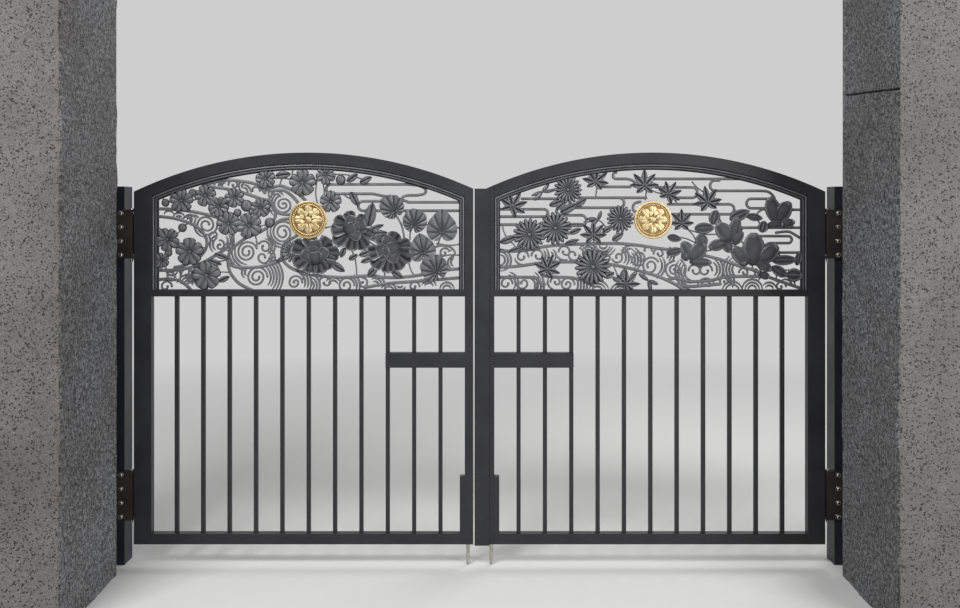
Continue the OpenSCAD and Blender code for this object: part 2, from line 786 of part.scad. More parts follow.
// Five heart-shaped petals: [column, row, radius, turn]
left_blossom_places = [
    [23, 89, 12, 0], [47, 94, 11, 12], [60, 83, 10.5, 40], [76, 92, 10, 20], [102, 82, 10, 5],
    [70, 66, 12, 0], [90.5, 64, 13, 20], [31, 38, 14, 0], [9, 50, 12, 30], [48, 14, 14.5, 8],
    [107, 111, 10, 15], [144, 107, 13.5, 0], [167, 115, 10, 36], [172, 88, 11, 0], [3, 29, 8, 20]
];
left_buds = [
    [7, 87, 4], [34, 97, 4], [24, 62, 4.4], [79, 77, 4], [88, 84, 6], [10, 37, 4], [111, 67, 5],
    [182, 110, 5], [93, 78, 3]
];
left_blossom_leaves = [
    [[56, 36], [70, 31], 6], [[51, 29], [63, 25], 6], [[117, 114], [132, 116], 8],
    [[188, 108], [199, 116], 7], [[201, 107], [213, 113], 7], [[192, 98], [199, 84], 8],
    [[60, 8], [71, 13], 6]
];

module blossom(r) {
    petals = 5;
    for (i = [0:petals - 1], half = [-1, 1])
        rotate(90 + i * 360 / petals)
            translate([0.64 * r, half * 0.15 * r]) circle(r = 0.28 * r);
    circle(r = 0.5 * r);
}

module blossom_relief(r) {
    petals = 5;
    circle(r = 0.16 * r);
    for (i = [0:petals - 1])
        rotate(90 + i * 360 / petals)
            translate([0, -rib_w / 2]) square([0.7 * r, rib_w]);
}

module left_blossom_outline() {
    for (b = left_blossom_places)
        place(-1, [b[0], b[1]], b[3]) blossom(b[2] * unit);
    for (b = left_buds)
        place(-1, [b[0], b[1]]) circle(r = b[2] * unit);
    leaves(-1, left_blossom_leaves);
}

// What the neighbours of the blossoms leave free
module left_blossom_room() {
    for (b = concat(left_blossom_places, left_buds))
        place(-1, [b[0], b[1]]) circle(r = b[2] * unit + leaf_gap);
    leaves(-1, left_blossom_leaves, leaf_gap);
}

module left_blossoms() {
    relief(-1, 0, petal_t)
        difference() {
            left_blossom_outline();
            medallion_disc(-1, leaf_gap);
        }
    relief(-1, petal_t, flower_t)
        difference() {
            union() {
                for (b = left_blossom_places)
                    place(-1, [b[0], b[1]], b[3]) blossom_relief(b[2] * unit);
                for (b = left_buds)
                    place(-1, [b[0], b[1]]) circle(r = b[2] * unit / 2);
                midribs(-1, left_blossom_leaves);
            }
            medallion_disc(-1, leaf_gap);
        }
}

// Peonies: round petals in two tiers, [column, row, radius]
left_outer_petals = [
    [178, 67, 7], [185, 72, 6], [193, 73, 6], [201, 69, 6], [176, 58, 6.5], [180, 50, 6.5],
    [189, 46, 6.5], [200, 48, 7], [206, 56, 6], [141, 42, 9], [152, 45, 9], [165, 44, 9],
    [173, 37, 9], [169, 29, 8], [157, 25, 9], [144, 27, 8], [131, 38, 9], [213, 43, 7],
    [220, 49, 7], [230, 51, 7], [240, 48, 7], [247, 42, 7], [246, 32, 8], [240, 24, 8],
    [231, 20, 7], [222, 22, 7], [213, 31, 7]
];
left_inner_petals = [
    [188, 64, 8], [199, 65, 7], [195, 56, 8], [146, 37, 8], [162, 38, 8], [153, 32, 7],
    [223, 42, 8], [235, 42, 8], [229, 33, 8.5]
];
left_peony_leaves = [
    [[208, 56], [229, 57], 7], [[207, 58], [225, 65], 6], [[207, 55], [222, 48], 6],
    [[209, 63], [214, 87], 12], [[186, 42], [182, 32], 6], [[190, 30], [199, 35], 6],
    [[212, 38], [200, 34], 7], [[214, 32], [202, 27], 6], [[218, 22], [209, 14], 8],
    [[232, 20], [244, 11], 7], [[172, 27], [186, 18], 8], [[150, 24], [138, 18], 6],
    [[126, 33], [118, 28], 4]
];
fan_place = [131, 38];
fan_r = 8;

module left_peony_outline(grow = 0) {
    for (p = left_outer_petals)
        place(-1, [p[0], p[1]]) circle(r = p[2] * unit + grow);
    for (p = left_inner_petals)
        place(-1, [p[0], p[1]]) circle(r = p[2] * unit + grow);
    leaves(-1, left_peony_leaves, grow);
}

module left_peonies() {
    ribs = 9;
    relief(-1, 0, petal_t)
        difference() {
            left_peony_outline();
            left_blossom_room();
            medallion_disc(-1, leaf_gap);
        }
    relief(-1, petal_t, flower_t)
        difference() {
            union() {
                for (p = left_inner_petals)
                    place(-1, [p[0], p[1]]) circle(r = 0.78 * p[2] * unit);
                for (i = [0:ribs - 1])
                    place(-1, fan_place, 90 + i * 180 / (ribs - 1))
                        square([fan_r * unit, rib_w]);
                midribs(-1, left_peony_leaves);
            }
            left_blossom_room();
            medallion_disc(-1, leaf_gap);
        }
}

// Lotus leaves: scalloped discs with ribs from the notch, [column, row, radius, turn of the notch]
left_lotus_places = [[233, 83, 12.5, -60], [256, 69, 12.5, -100], [275, 22, 14, -60]];
left_heart_places = [[283, 64, 16, 90], [263, 42, 14, 100]];
lotus_scallops = 14;

module lotus_leaf(r, grow) {
    circle(r = 0.88 * r + grow);
    for (i = [0:lotus_scallops - 1])
        rotate(i * 360 / lotus_scallops) translate([0.84 * r, 0]) circle(r = 0.16 * r + grow);
}

module heart_leaf(r, grow) {
    for (half = [-1, 1])
        translate([-0.3 * r, half * 0.42 * r]) circle(r = 0.55 * r + grow);
    intersection() {
        translate([-0.2 * r, 0.7 * r]) circle(r = 1.4 * r + grow);
        translate([-0.2 * r, -0.7 * r]) circle(r = 1.4 * r + grow);
        translate([-0.5 * r, -r - grow]) square([1.6 * r, 2 * r + 2 * grow]);
    }
}

module spokes(r, count, from, to) {
    for (i = [0:count - 1])
        rotate(from + i * (to - from) / (count - 1))
            translate([0.12 * r, -rib_w / 2]) square([0.76 * r, rib_w]);
}

module left_lotus_outline(grow = 0) {
    for (l = left_lotus_places)
        place(-1, [l[0], l[1]], l[3]) lotus_leaf(l[2] * unit, grow);
    for (l = left_heart_places)
        place(-1, [l[0], l[1]], l[3]) heart_leaf(l[2] * unit, grow);
}

module left_lotus_leaves() {
    relief(-1, 0, petal_t)
        difference() {
            left_lotus_outline();
            left_peony_outline(leaf_gap);
            for (l = left_lotus_places)
                place(-1, [l[0], l[1]], l[3])
                    translate([0, -rib_w]) square([1.2 * l[2] * unit, 2 * rib_w]);
        }
    relief(-1, petal_t, flower_t)
        difference() {
            union() {
                for (l = left_lotus_places)
                    place(-1, [l[0], l[1]], l[3])
                        spokes(l[2] * unit, lotus_scallops, 20, 340);
                for (l = left_heart_places)
                    place(-1, [l[0], l[1]], l[3]) spokes(0.8 * l[2] * unit, 5, -50, 50);
            }
            left_peony_outline(leaf_gap);
        }
}

// Chrysanthemums: long round-ended petals, [column, row, radius, turn]
right_chrysanthemum_places = [
    [67.5, 100, 13.5, 0], [29, 55, 15.5, 5], [55, 61.5, 15.5, 0], [120, 71, 13, 0],
    [92.5, 22.5, 17, 4]
];
right_chrysanthemum_leaves = [
    [[49, 84], [62, 89], 7], [[56, 80], [66, 89], 6], [[60, 77], [77, 86], 9],
    [[75, 84], [86, 91], 7], [[0, 47], [16, 53], 8], [[69, 56], [81, 61], 6],
    [[65, 46], [79, 50], 5], [[9, 38], [24, 43], 6], [[112, 49], [123, 57], 7],
    [[102, 57], [113, 64], 6], [[104, 12], [114, 17], 7]
];
petal_count = 18;

module chrysanthemum_petals(r, w) {
    for (i = [0:petal_count - 1])
        rotate(i * 360 / petal_count) {
            translate([0.25 * r, -w / 2]) square([0.75 * r - w / 2, w]);
            translate([r - w / 2, 0]) circle(d = w);
        }
}

module right_chrysanthemum_outline() {
    for (c = right_chrysanthemum_places)
        place(1, [c[0], c[1]], c[3]) {
            r = c[2] * unit;
            circle(r = 0.82 * r);
            chrysanthemum_petals(r, 1.9 * PI * r / petal_count);
        }
    leaves(1, right_chrysanthemum_leaves);
}

// What the neighbours of the chrysanthemums leave free
module right_chrysanthemum_room() {
    for (c = right_chrysanthemum_places)
        place(1, [c[0], c[1]]) circle(r = c[2] * unit + leaf_gap);
    leaves(1, right_chrysanthemum_leaves, leaf_gap);
}

module right_chrysanthemums() {
    relief(1, 0, petal_t)
        difference() {
            right_chrysanthemum_outline();
            medallion_disc(1, leaf_gap);
        }
    relief(1, petal_t, flower_t)
        difference() {
            union() {
                for (c = right_chrysanthemum_places)
                    place(1, [c[0], c[1]], c[3]) {
                        r = c[2] * unit;
                        circle(r = 0.2 * r);
                        chrysanthemum_petals(0.95 * r, 1.2 * PI * r / petal_count);
                    }
                midribs(1, right_chrysanthemum_leaves);
            }
            medallion_disc(1, leaf_gap);
        }
}

// Maple leaves with seven narrow lobes: [column, row, radius, turn]
right_maple_places = [
    [12, 83, 15, 60], [95, 108, 14, 80], [144, 104, 15, 90], [168, 95, 13, 60], [93, 54, 14, 90],
    [207, 87, 15, 100], [181, 66, 13, 90], [47, 20, 14, 70], [125, 5, 14, 45]
];
right_bamboo_leaves = [
    [[42, 98], [49, 106], 4], [[42, 98], [31, 94], 4], [[42, 98], [34, 89], 4.5],
    [[42, 98], [54, 99], 3.5], [[98, 70], [86, 71], 4.5], [[98, 70], [91, 65], 4],
    [[98, 70], [101, 79], 4], [[148, 9], [158, 5], 4.5], [[148, 9], [138, 16], 4.5],
    [[148, 9], [151, -3], 4.5], [[121, 8], [124, 21], 6], [[112, 12], [121, 7], 5],
    [[128, 8], [137, 19], 5]
];
right_bamboo_knots = [[42, 98], [98, 70], [148, 9]];
bamboo_knot_r = 1.4;

// Seven lobes from the stalk round: [angle, length as a share of the radius]
maple_lobes = [[-132, 0.62], [-86, 0.84], [-42, 0.94], [0, 1], [42, 0.94], [86, 0.84], [132, 0.62]];

module maple_leaf(r, grow) {
    size = r + grow;
    polygon([
        for (i = [0:6])
            let (a = maple_lobes[i][0], l = maple_lobes[i][1] * size)
                for (p = [
                    polar(0.2 * size + grow, a - 22), polar(0.52 * l, a) - polar(0.12 * size, a + 90),
                    polar(l, a), polar(0.52 * l, a) + polar(0.12 * size, a + 90)
                ]) p,
        polar(0.2 * size + grow, 154)
    ]);
}

module maple_veins(r) {
    circle(r = 0.14 * r);
    for (lobe = maple_lobes)
        rotate(lobe[0]) translate([0.1 * r, -rib_w / 2]) square([(0.8 * lobe[1] - 0.1) * r, rib_w]);
}

module right_maple_outline(grow = 0) {
    for (m = right_maple_places)
        place(1, [m[0], m[1]], m[3]) maple_leaf(m[2] * unit, grow);
    leaves(1, right_bamboo_leaves, grow);
    for (knot = right_bamboo_knots)
        place(1, knot) circle(r = bamboo_knot_r * unit + grow);
}

module right_maple_leaves() {
    relief(1, 0, petal_t)
        difference() {
            right_maple_outline();
            right_chrysanthemum_room();
            medallion_disc(1, leaf_gap);
        }
    relief(1, petal_t, flower_t)
        difference() {
            union() {
                for (m = right_maple_places)
                    place(1, [m[0], m[1]], m[3]) maple_veins(m[2] * unit);
                midribs(1, right_bamboo_leaves);
            }
            right_chrysanthemum_room();
            medallion_disc(1, leaf_gap);
        }
}

// Magnolias: single petals, and pointed leaves round them
right_magnolia_petals = [
    [[275, 66], [266, 93], 14], [[276, 68], [289, 88], 14], [[282, 65], [294, 68], 7],
    [[267, 65], [279, 66], 5], [[230, 49], [217, 67], 14], [[231, 48], [237, 73], 11],
    [[233, 45], [242, 58], 8], [[225, 47], [208, 42], 10], [[225, 48], [230, 37], 9],
    [[253, 24], [253, 57], 20], [[247, 25], [232, 43], 13], [[260, 28], [277, 44], 14],
    [[256, 29], [271, 19], 9], [[259, 16], [269, 12], 7], [[201, 42], [201, 56], 11],
    [[199, 29], [198, 48], 16], [[192, 31], [184, 45], 9], [[199, 30], [213, 25], 8]
];
right_magnolia_buds = [[243, 27, 4]];
right_pointed_leaves = [
    [[194, 61], [214, 62], 10], [[167, 53], [181, 50], 7], [[167, 36], [182, 40], 8],
    [[212, 65], [216, 80], 10], [[229, 70], [249, 79], 10], [[246, 74], [262, 71], 7],
    [[261, 57], [264, 69], 9], [[271, 29], [297, 30], 9], [[271, 23], [287, 13], 9],
    [[286, 15], [302, 14], 12], [[296, 24], [299, 38], 6]
];

module right_magnolia_outline(grow = 0) {
    leaves(1, right_magnolia_petals, grow);
    for (b = right_magnolia_buds)
        place(1, [b[0], b[1]]) circle(r = b[2] * unit + grow);
    leaves(1, right_pointed_leaves, grow);
}

// Petals overlap: each is a little narrower in the relief, and the leaves carry a midrib
module right_magnolias() {
    relief(1, 0, petal_t)
        difference() {
            right_magnolia_outline();
            right_maple_outline(leaf_gap);
            medallion_disc(1, leaf_gap);
        }
    relief(1, petal_t, flower_t)
        difference() {
            union() {
                leaves(1, right_magnolia_petals, -petal_rim);
                midribs(1, right_pointed_leaves);
            }
            right_maple_outline(leaf_gap);
            medallion_disc(1, leaf_gap);
        }
}

// Round gilt medallion with a raised rim and a plain eight-lobed rosette
module medallion(side) {
    lobes = 8;
    col = side > 0 ? medallion_col_right : medallion_col_left;
    color([0.72, 0.55, 0.2])
        in_frame() {
            stand(flower_back - petal_t, flower_back) medallion_disc(side);
            stand(flower_back - flower_t - 2, flower_back - petal_t)
                place(side, [col, medallion_row]) {
                    difference() {
                        circle(r = medallion_r);
                        circle(r = medallion_r - rim_w);
                    }
                    for (i = [0:lobes - 1])
                        rotate(i * 360 / lobes)
                            translate([0.42 * medallion_r, 0]) circle(r = 0.2 * medallion_r);
                    circle(r = 0.24 * medallion_r);
                }
        }
}

granite_pillar(-1);  // left_granite_pillar
granite_pillar(1);  // right_granite_pillar
steel_post(-1);  // left_steel_post
steel_post(1);  // right_steel_post
hinge_brackets(-1);  // left_hinge_brackets
hinge_brackets(1);  // right_hinge_brackets
hinge_pins(-1);  // left_hinge_pins
hinge_pins(1);  // right_hinge_pins
hinge_stile(-1);  // left_hinge_stile
meeting_stile(-1);  // left_meeting_stile
arch_rail(-1);  // left_arch_rail
mid_rail(-1);  // left_mid_rail
bottom_rail(-1);  // left_bottom_rail
lock_rail(-1);  // left_lock_rail
bars(-1);  // left_bars
panel_moulding(-1);  // left_panel_moulding
hinge_barrels(-1);  // left_hinge_barrels
bolt_case(-1);  // left_bolt_case
drop_bolt(-1);  // left_drop_bolt
left_water_scrolls();
left_mist_bars();
left_blossoms();
left_peonies();
left_lotus_leaves();
medallion(-1);  // left_medallion
hinge_stile(1);  // right_hinge_stile
meeting_stile(1);  // right_meeting_stile
arch_rail(1);  // right_arch_rail
mid_rail(1);  // right_mid_rail
bottom_rail(1);  // right_bottom_rail
lock_rail(1);  // right_lock_rail
bars(1);  // right_bars
panel_moulding(1);  // right_panel_moulding
hinge_barrels(1);  // right_hinge_barrels
bolt_case(1);  // right_bolt_case
drop_bolt(1);  // right_drop_bolt
right_water_scrolls();
right_mist_bars();
right_chrysanthemums();
right_maple_leaves();
right_magnolias();
medallion(1);  // right_medallion
astragal();  // right_astragal
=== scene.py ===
# Double-leaf driveway gate with cast flower panels, between two granite pillars.
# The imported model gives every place; this script gives the surfaces, the relief of the castings and
# the light. Lengths are in metres, +X to the right, +Y inward from the road, +Z up.

import itertools
import math

import bmesh
import bpy
import numpy as np
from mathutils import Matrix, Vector, noise


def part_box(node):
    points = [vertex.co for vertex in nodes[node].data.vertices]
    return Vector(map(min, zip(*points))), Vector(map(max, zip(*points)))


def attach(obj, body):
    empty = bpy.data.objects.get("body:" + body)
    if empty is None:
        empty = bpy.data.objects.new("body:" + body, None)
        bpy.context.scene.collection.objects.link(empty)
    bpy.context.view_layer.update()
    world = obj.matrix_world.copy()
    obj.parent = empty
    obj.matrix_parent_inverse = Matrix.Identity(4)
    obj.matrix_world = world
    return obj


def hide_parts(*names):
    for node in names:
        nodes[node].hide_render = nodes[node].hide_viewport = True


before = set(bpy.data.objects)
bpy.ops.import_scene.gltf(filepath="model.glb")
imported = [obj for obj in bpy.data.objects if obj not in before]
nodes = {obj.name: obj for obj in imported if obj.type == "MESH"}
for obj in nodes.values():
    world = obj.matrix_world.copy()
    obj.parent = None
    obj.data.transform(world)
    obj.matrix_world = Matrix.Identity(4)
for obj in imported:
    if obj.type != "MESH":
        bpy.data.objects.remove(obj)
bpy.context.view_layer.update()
MM = 0.001
HANDS = {-1: "left", 1: "right"}

# Panel grid: 300 squares across and 120 up at its middle, as the castings were laid out
MOULDING_W = 26 * MM
SQUARES_X, SQUARES_Z = 300, 120
moulding_low, moulding_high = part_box("right_panel_moulding")
PANEL_IN = moulding_low.x + MOULDING_W
PANEL_OUT = moulding_high.x - MOULDING_W
SILL = moulding_low.z
GX = (PANEL_OUT - PANEL_IN) / SQUARES_X
GZ = (moulding_high.z - MOULDING_W - SILL) / SQUARES_Z
UNIT = max(GX, GZ)

# Arch of a leaf: the circle through its crown and its two ends, and the moulding's circle inside it
RISE = 172 * MM
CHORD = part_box("right_hinge_stile")[1].x
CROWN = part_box("right_arch_rail")[1].z
ARCH_X = CHORD / 2
ARCH_R = CHORD * CHORD / 8 / RISE + RISE / 2
ARCH_Z = CROWN - ARCH_R
MOULDING_R = ARCH_R - (CROWN - moulding_high.z)

# Depths of the castings: the bands, and the flowers and leaves in front of them
BAND_FRONT, BAND_BACK = (corner.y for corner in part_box("right_water_scrolls"))
FLOWER_BASE = BAND_FRONT + 1 * MM
LEAF_BASE = FLOWER_BASE + 0.6 * MM
HEART_BASE = FLOWER_BASE + 0.3 * MM
EYE_BASE = BAND_BACK - 1 * MM


def spot(side, col, row):
    """A place on a panel's grid, as X and Z."""
    left = PANEL_IN if side > 0 else -PANEL_OUT
    return np.array([left + col * GX, SILL + row * GZ])


def placed(side, place):
    """A casting's middle and radius from its column, row and size, and what else the place says."""
    col, row, size, *rest = place
    return spot(side, col, row), size * UNIT, *rest


def polar(radius, degrees):
    angle = math.radians(degrees)
    return radius * np.array([math.cos(angle), math.sin(angle)])


def heading(way):
    """The direction of a way on the panel, in degrees."""
    return math.degrees(math.atan2(way[1], way[0]))


def toward(angles):
    return np.stack([np.cos(angles), np.sin(angles)], axis=1)


def full_turn(count):
    return np.linspace(0, 2 * np.pi, count, endpoint=False)


def circle(centre, radius, count):
    return centre + radius * toward(full_turn(count))


def steps_out(count):
    """Even shares of the way out from a centre, the last one 1."""
    return np.linspace(0, 1, count + 1)[1:]


def spline(points, steps=6):
    """A smooth curve through given points."""
    points = np.array(points, float)
    if len(points) < 3:
        return points
    stops = np.vstack([points[:1], points, points[-1:]])
    t = (np.arange(steps) / steps)[:, None]
    curve = [
        0.5 * (2 * p1 + t * (p2 - p0) + t * t * (2 * p0 - 5 * p1 + 4 * p2 - p3)
               + t**3 * (3 * p1 - p0 - 3 * p2 + p3))
        for p0, p1, p2, p3 in zip(stops, stops[1:], stops[2:], stops[3:])
    ]
    return np.vstack([*curve, points[-1:]])


def even(route, gap):
    """A route with its points spread evenly, about gap apart."""
    lengths = np.linalg.norm(np.diff(route, axis=0), axis=1)
    run = np.concatenate([[0], np.cumsum(lengths)])
    count = max(int(round(run[-1] / gap)), 2)
    places = np.linspace(0, run[-1], count + 1)
    return np.stack([np.interp(places, run, route[:, k]) for k in (0, 1)], axis=1)


def kept_in_field(points, side, lap=2 * MM):
    """Points past the panel's edge are brought back to just inside the moulding."""
    x = np.clip(points[:, 0] * side, PANEL_IN - lap, PANEL_OUT + lap)
    z = np.maximum(points[:, 2], SILL - lap)
    reach = MOULDING_R - MOULDING_W + lap
    pull = np.minimum(1, reach / np.hypot(x - ARCH_X, z - ARCH_Z))
    out = points.copy()
    out[:, 0] = side * (ARCH_X + (x - ARCH_X) * pull)
    out[:, 2] = ARCH_Z + (z - ARCH_Z) * pull
    return out


def ring_faces(rings, around, first=0):
    """Quads between closed rings of points that follow one another."""
    return [
        (first + i * around + j, first + i * around + (j + 1) % around,
         first + (i + 1) * around + (j + 1) % around, first + (i + 1) * around + j)
        for i in range(rings - 1) for j in range(around)
    ]


class Casting:
    """Points, faces and a painted shade or mask value for each point, gathered and then made into one
    mesh.
    """

    BACK_STEP = 0.04 * MM
    BACK_PLANES = 37

    def __init__(self):
        self.points, self.faces, self.shade_and_mask = [], [], []
        self.reliefs = 0

    def back_of(self, base):
        """The back plane of the next relief. Neighbours differ a little, so no two backs coincide."""
        self.reliefs += 1
        return base + self.BACK_STEP * (self.reliefs % self.BACK_PLANES)

    def add(self, points, faces, shade_and_mask):
        base = len(self.points)
        self.points.extend(map(tuple, points))
        self.shade_and_mask.extend(shade_and_mask)
        self.faces.extend(tuple(base + i for i in face) for face in faces)

    def tube(self, rings, shade_and_mask):
        """Rings of points joined into a closed tube: rings is (count, around, 3)."""
        count, around = rings.shape[:2]
        faces = ring_faces(count, around)
        faces.append(tuple(range(around)))
        faces.append(tuple((count - 1) * around + j for j in reversed(range(around))))
        self.add(rings.reshape(-1, 3), faces, np.asarray(shade_and_mask).ravel())

    def shell(self, plan, height, base, shade_and_mask):
        """A closed relief over a grid: plan is (rows, columns, 2), heights stand out from base."""
        rows, columns = height.shape
        front = np.stack([plan[..., 0], base - height, plan[..., 1]], axis=-1).reshape(-1, 3)
        grid = np.arange(rows * columns).reshape(rows, columns)
        rim = np.concatenate([grid[0], grid[1:, -1], grid[-1, -2::-1], grid[-2:0:-1, 0]]).tolist()
        back = front[rim].copy()
        back[:, 1] = self.back_of(base)
        cells = grid[:-1, :-1].ravel().tolist()
        faces = [(k, k + 1, k + columns + 1, k + columns) for k in cells]
        size, around = len(front), len(rim)
        faces += [
            (rim[k], size + k, size + (k + 1) % around, rim[(k + 1) % around]) for k in range(around)
        ]
        faces.append(tuple(size + k for k in range(around)))
        self.add(np.vstack([front, back]), faces, np.concatenate([shade_and_mask.ravel(), np.zeros(around)]))

    def disc(self, centre, outline, height, base, shade_and_mask):
        """A closed relief over rings round a centre: outline (around, 2), height (rings, around)."""
        rings, around = height.shape
        plan = centre + steps_out(rings)[:, None, None] * (outline - centre)
        top = np.stack([plan[..., 0], base - height, plan[..., 1]], axis=-1).reshape(-1, 3)
        peak = np.array([[centre[0], base - height[0].mean(), centre[1]]])
        foot = top[-around:].copy()
        foot[:, 1] = self.back_of(base)
        faces = [(0, 1 + (j + 1) % around, 1 + j) for j in range(around)]
        faces += ring_faces(rings + 1, around, first=1)
        faces.append(tuple(1 + rings * around + j for j in reversed(range(around))))
        shades_and_masks = np.concatenate([[shade_and_mask[0].mean()], shade_and_mask.ravel(), np.zeros(around)])
        self.add(np.vstack([peak, top, foot]), faces, shades_and_masks)

    def made(self, name, material, body, slot, *replaced, field=None, smooth_under=50):
        """One piece that rides on its body and stands for the CAD nodes named."""
        points = np.array(self.points)
        if field:
            points = kept_in_field(points, field)
        mesh = bpy.data.meshes.new(name)
        mesh.from_pydata(points.tolist(), [], self.faces)
        # The value goes to the materials: painted light and shade on the reliefs, a mask on other
        # pieces
        shade_and_mask = mesh.attributes.new("shade_and_mask", "FLOAT", "POINT")
        shade_and_mask.data.foreach_set("value", np.array(self.shade_and_mask, np.float32))
        # Faces may be listed either way round: this turns them all outward
        shape = bmesh.new()
        shape.from_mesh(mesh)
        bmesh.ops.recalc_face_normals(shape, faces=shape.faces)
        shape.to_mesh(mesh)
        shape.free()
        mesh.materials.append(material)
        mesh.shade_smooth()
        mesh.set_sharp_from_angle(angle=math.radians(smooth_under))
        piece = bpy.data.objects.new(name, mesh)
        bpy.context.scene.collection.objects.link(piece)
        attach(piece, body)
        if replaced:
            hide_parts(*replaced)


def hang(casting, side, name, node):
    """A painted casting of the panel, kept inside the moulding and hung on its leaf."""
    hand = HANDS[side]
    casting.made(f"{hand}_{name}", castings_paint, f"{hand}_leaf", "casting_paint",
                 f"{hand}_{node}", field=side)


# Ornament on the grid, left and right panels: places are [column, row]
LEFT_STREAMS = [
    [[-4, 81], [14, 80.5], [28, 79], [42, 76.5], [56, 73], [66, 69], [73, 60], [73.5, 50],
        [68, 42], [58, 35], [46, 28], [32, 22], [16, 19.5], [-4, 19]],
    [[-4, 73.5], [12, 72], [24, 69], [36, 64], [44, 57], [48, 49], [47, 41], [40, 32], [28, 25],
        [16, 22]], [[45, 105], [62, 109], [75, 109.5], [90, 107.5], [100, 104], [106, 97]],
    [[48, 103.5], [65, 101.5], [80, 98.5], [92, 94.5], [102, 91], [110, 89], [115, 84], [117, 76],
        [114, 68], [108, 62], [100, 57], [88, 52], [78, 45], [71, 37], [69, 29], [74, 23.5],
        [84, 22], [100, 22.5], [114, 26], [124, 30]],
    [[110, 101], [120, 104], [128, 102], [138, 97], [147, 89]],
    [[112, 99], [124, 99.5], [133, 94], [140, 86]],
    [[69, 29], [71, 18], [78, 8], [86, 2.5], [96, -2]],
    [[138, 54], [126, 46], [123, 38], [124, 30], [130, 23], [140, 18], [150, 15], [165, 13],
        [185, 12], [208, 13.5], [225, 12], [240, 12], [262, 14.5], [280, 18.5], [304, 21]],
    [[206, 2], [230, 6], [250, 7.5], [275, 9.5], [304, 12]], [[116, 79], [122, 76], [132, 75]],
    [[116, 66], [123, 70], [132, 71]], [[-4, 9], [8, 10.5], [20, 9], [30, 2], [34, -4]]
]
LEFT_THREADS = [
    [[236, 76], [242, 66], [245, 54], [245, 44]],
    [[264, 34], [278, 43], [290, 43], [296, 37], [292, 30]]
]
LEFT_STALKS = [
    [[0, 62], [9, 50], [24, 62]], [[9, 50], [3, 29], [9, 19]], [[24, 62], [31, 67]],
    [[3, 95], [7, 87], [23, 89], [47, 94]], [[23, 89], [24, 79]], [[47, 94], [49, 104]],
    [[47, 94], [60, 83], [76, 92]], [[60, 83], [70, 66]],
    [[76, 92], [88, 84], [102, 82], [116, 79]], [[70, 66], [90.5, 64], [114, 67]],
    [[31, 38], [47, 42]], [[31, 38], [24, 24]], [[48, 14], [72, 17]], [[48, 14], [38, 24]],
    [[48, 14], [48, -2]], [[58, 28], [70, 31]], [[98, 118], [107, 111], [107, 98]],
    [[107, 111], [144, 107], [167, 115], [206, 110]], [[144, 107], [147, 86]],
    [[172, 88], [172, 99]], [[158, 82], [172, 88]], [[121, 103], [123, 111]],
    [[134, 121], [135, 99]], [[159, 84], [158, 109]], [[164, 86], [163, 112]],
    [[195, 90], [184, 96]], [[195, 63], [163, 61]], [[212, 64], [216, 80]],
    [[195, 63], [228, 38], [263, 42]], [[178, 44], [163, 54]], [[190, 46], [198, 12]],
    [[253, 62], [251, 50]], [[281, 54], [278, 44]], [[256, 69], [283, 64], [304, 60]],
    [[278, 46], [304, 46]], [[276, 31], [304, 34]], [[250, 26], [256, 13]], [[155, 36], [150, 15]],
    [[228, 38], [226, 12]], [[233, 83], [238, 92]], [[97.9, 41.2], [96, 55]],
    [[100.2, 45.8], [97, 48]], [[110.5, 32], [116, 27]], [[143.4, 7], [146, 16]],
    [[290.1, 38.5], [294, 41]]
]
LEFT_SCROLLS = [
    [35.5, 70.5, 4, 30, 1], [48.5, 65, 10, 10, -1], [55, 53, 4.4, 250, -1], [61, 45, 4.4, 90, -1],
    [59, 105.5, 3.4, 180, -1], [74, 105, 4.4, 180, -1], [97, 99, 4, 0, 1], [124, 86, 8.6, 120, 1],
    [124.5, 58, 10, 60, 1], [89, 38, 9.5, 20, 1], [105, 43, 5.5, 150, -1], [105, 32, 5.5, 0, -1],
    [99, 12.5, 9.6, 0, 1], [137, 7, 6.4, 0, 1], [166, 7, 5.6, 200, -1], [188, 4, 7.4, 0, 1],
    [204, 7, 4.4, 90, -1], [286, 37, 4.4, 20, 1], [14, 14, 5.4, 60, 1], [28, 15, 5.6, 200, -1],
    [8, 3, 5, 0, 1], [256, 3, 4.6, 0, 1]
]
LEFT_RIPPLES = [
    [48.5, 65, 13, 13, 150, 250], [124.5, 58, 13, 16, 160, 280], [89, 38, 13, 19, 165, 265],
    [99, 12.5, 13, 25, -40, 60], [137, 7, 9.5, 15.5, -30, 66], [90, 17, 4, 7, 130, 235],
    [296, 27, 4, 7, 110, 250], [288, 0, 4, 7, 0, 180], [84, 97.3, 5, 8, -5, 95],
    [117, 91, 5, 8, 20, 130], [10, 74, 5, 5, 20, 160], [230, -2, 5, 8, 20, 160],
    [64, 49, 5, 11, -70, 50], [61, 45, 7, 10, 110, 230], [14, 14, 8, 8, -60, 80],
    [30, 4, 5, 11, 25, 140], [44, 24, 5, 8, 150, 260], [66, 104, 3, 6, 80, 220],
    [86, 104, 3, 6, 100, 230], [104, 96, 6, 9, -30, 100], [105, 43, 8, 11, -60, 80],
    [105, 32, 8, 11, -50, 60], [28, 68, 5, 5, 30, 150], [124, 86, 11.5, 14.5, 120, 240],
    [150, 4, 5, 11, -50, 70], [174, 4, 5, 8, 20, 150], [188, 4, 10, 13, -30, 60],
    [216, 4, 4, 10, -20, 120], [270, 3, 4, 7, 0, 170], [241, 5, 3, 6, 200, 340],
    [268, 12, 3, 6, 190, 350], [18, 74, 3, 3, 200, 340], [20, 71, 3, 6, 20, 160],
    [31, 69, 3, 6, 20, 160], [31, 4, 3, 9, 10, 170], [13, 20, 3, 6, 190, 350],
    [37, 16, 4, 7, 90, 210]
]
LEFT_MIST_ROWS = [
    [105.5, 172, 250], [96, 172, 216], [94.5, 248, 260], [88.5, 204, 222], [79, 204, 304],
    [87.5, 248, 304]
]
LEFT_MIST_TURNS = [[172, 96, 105.5, -1], [204, 79, 88.5, -1]]
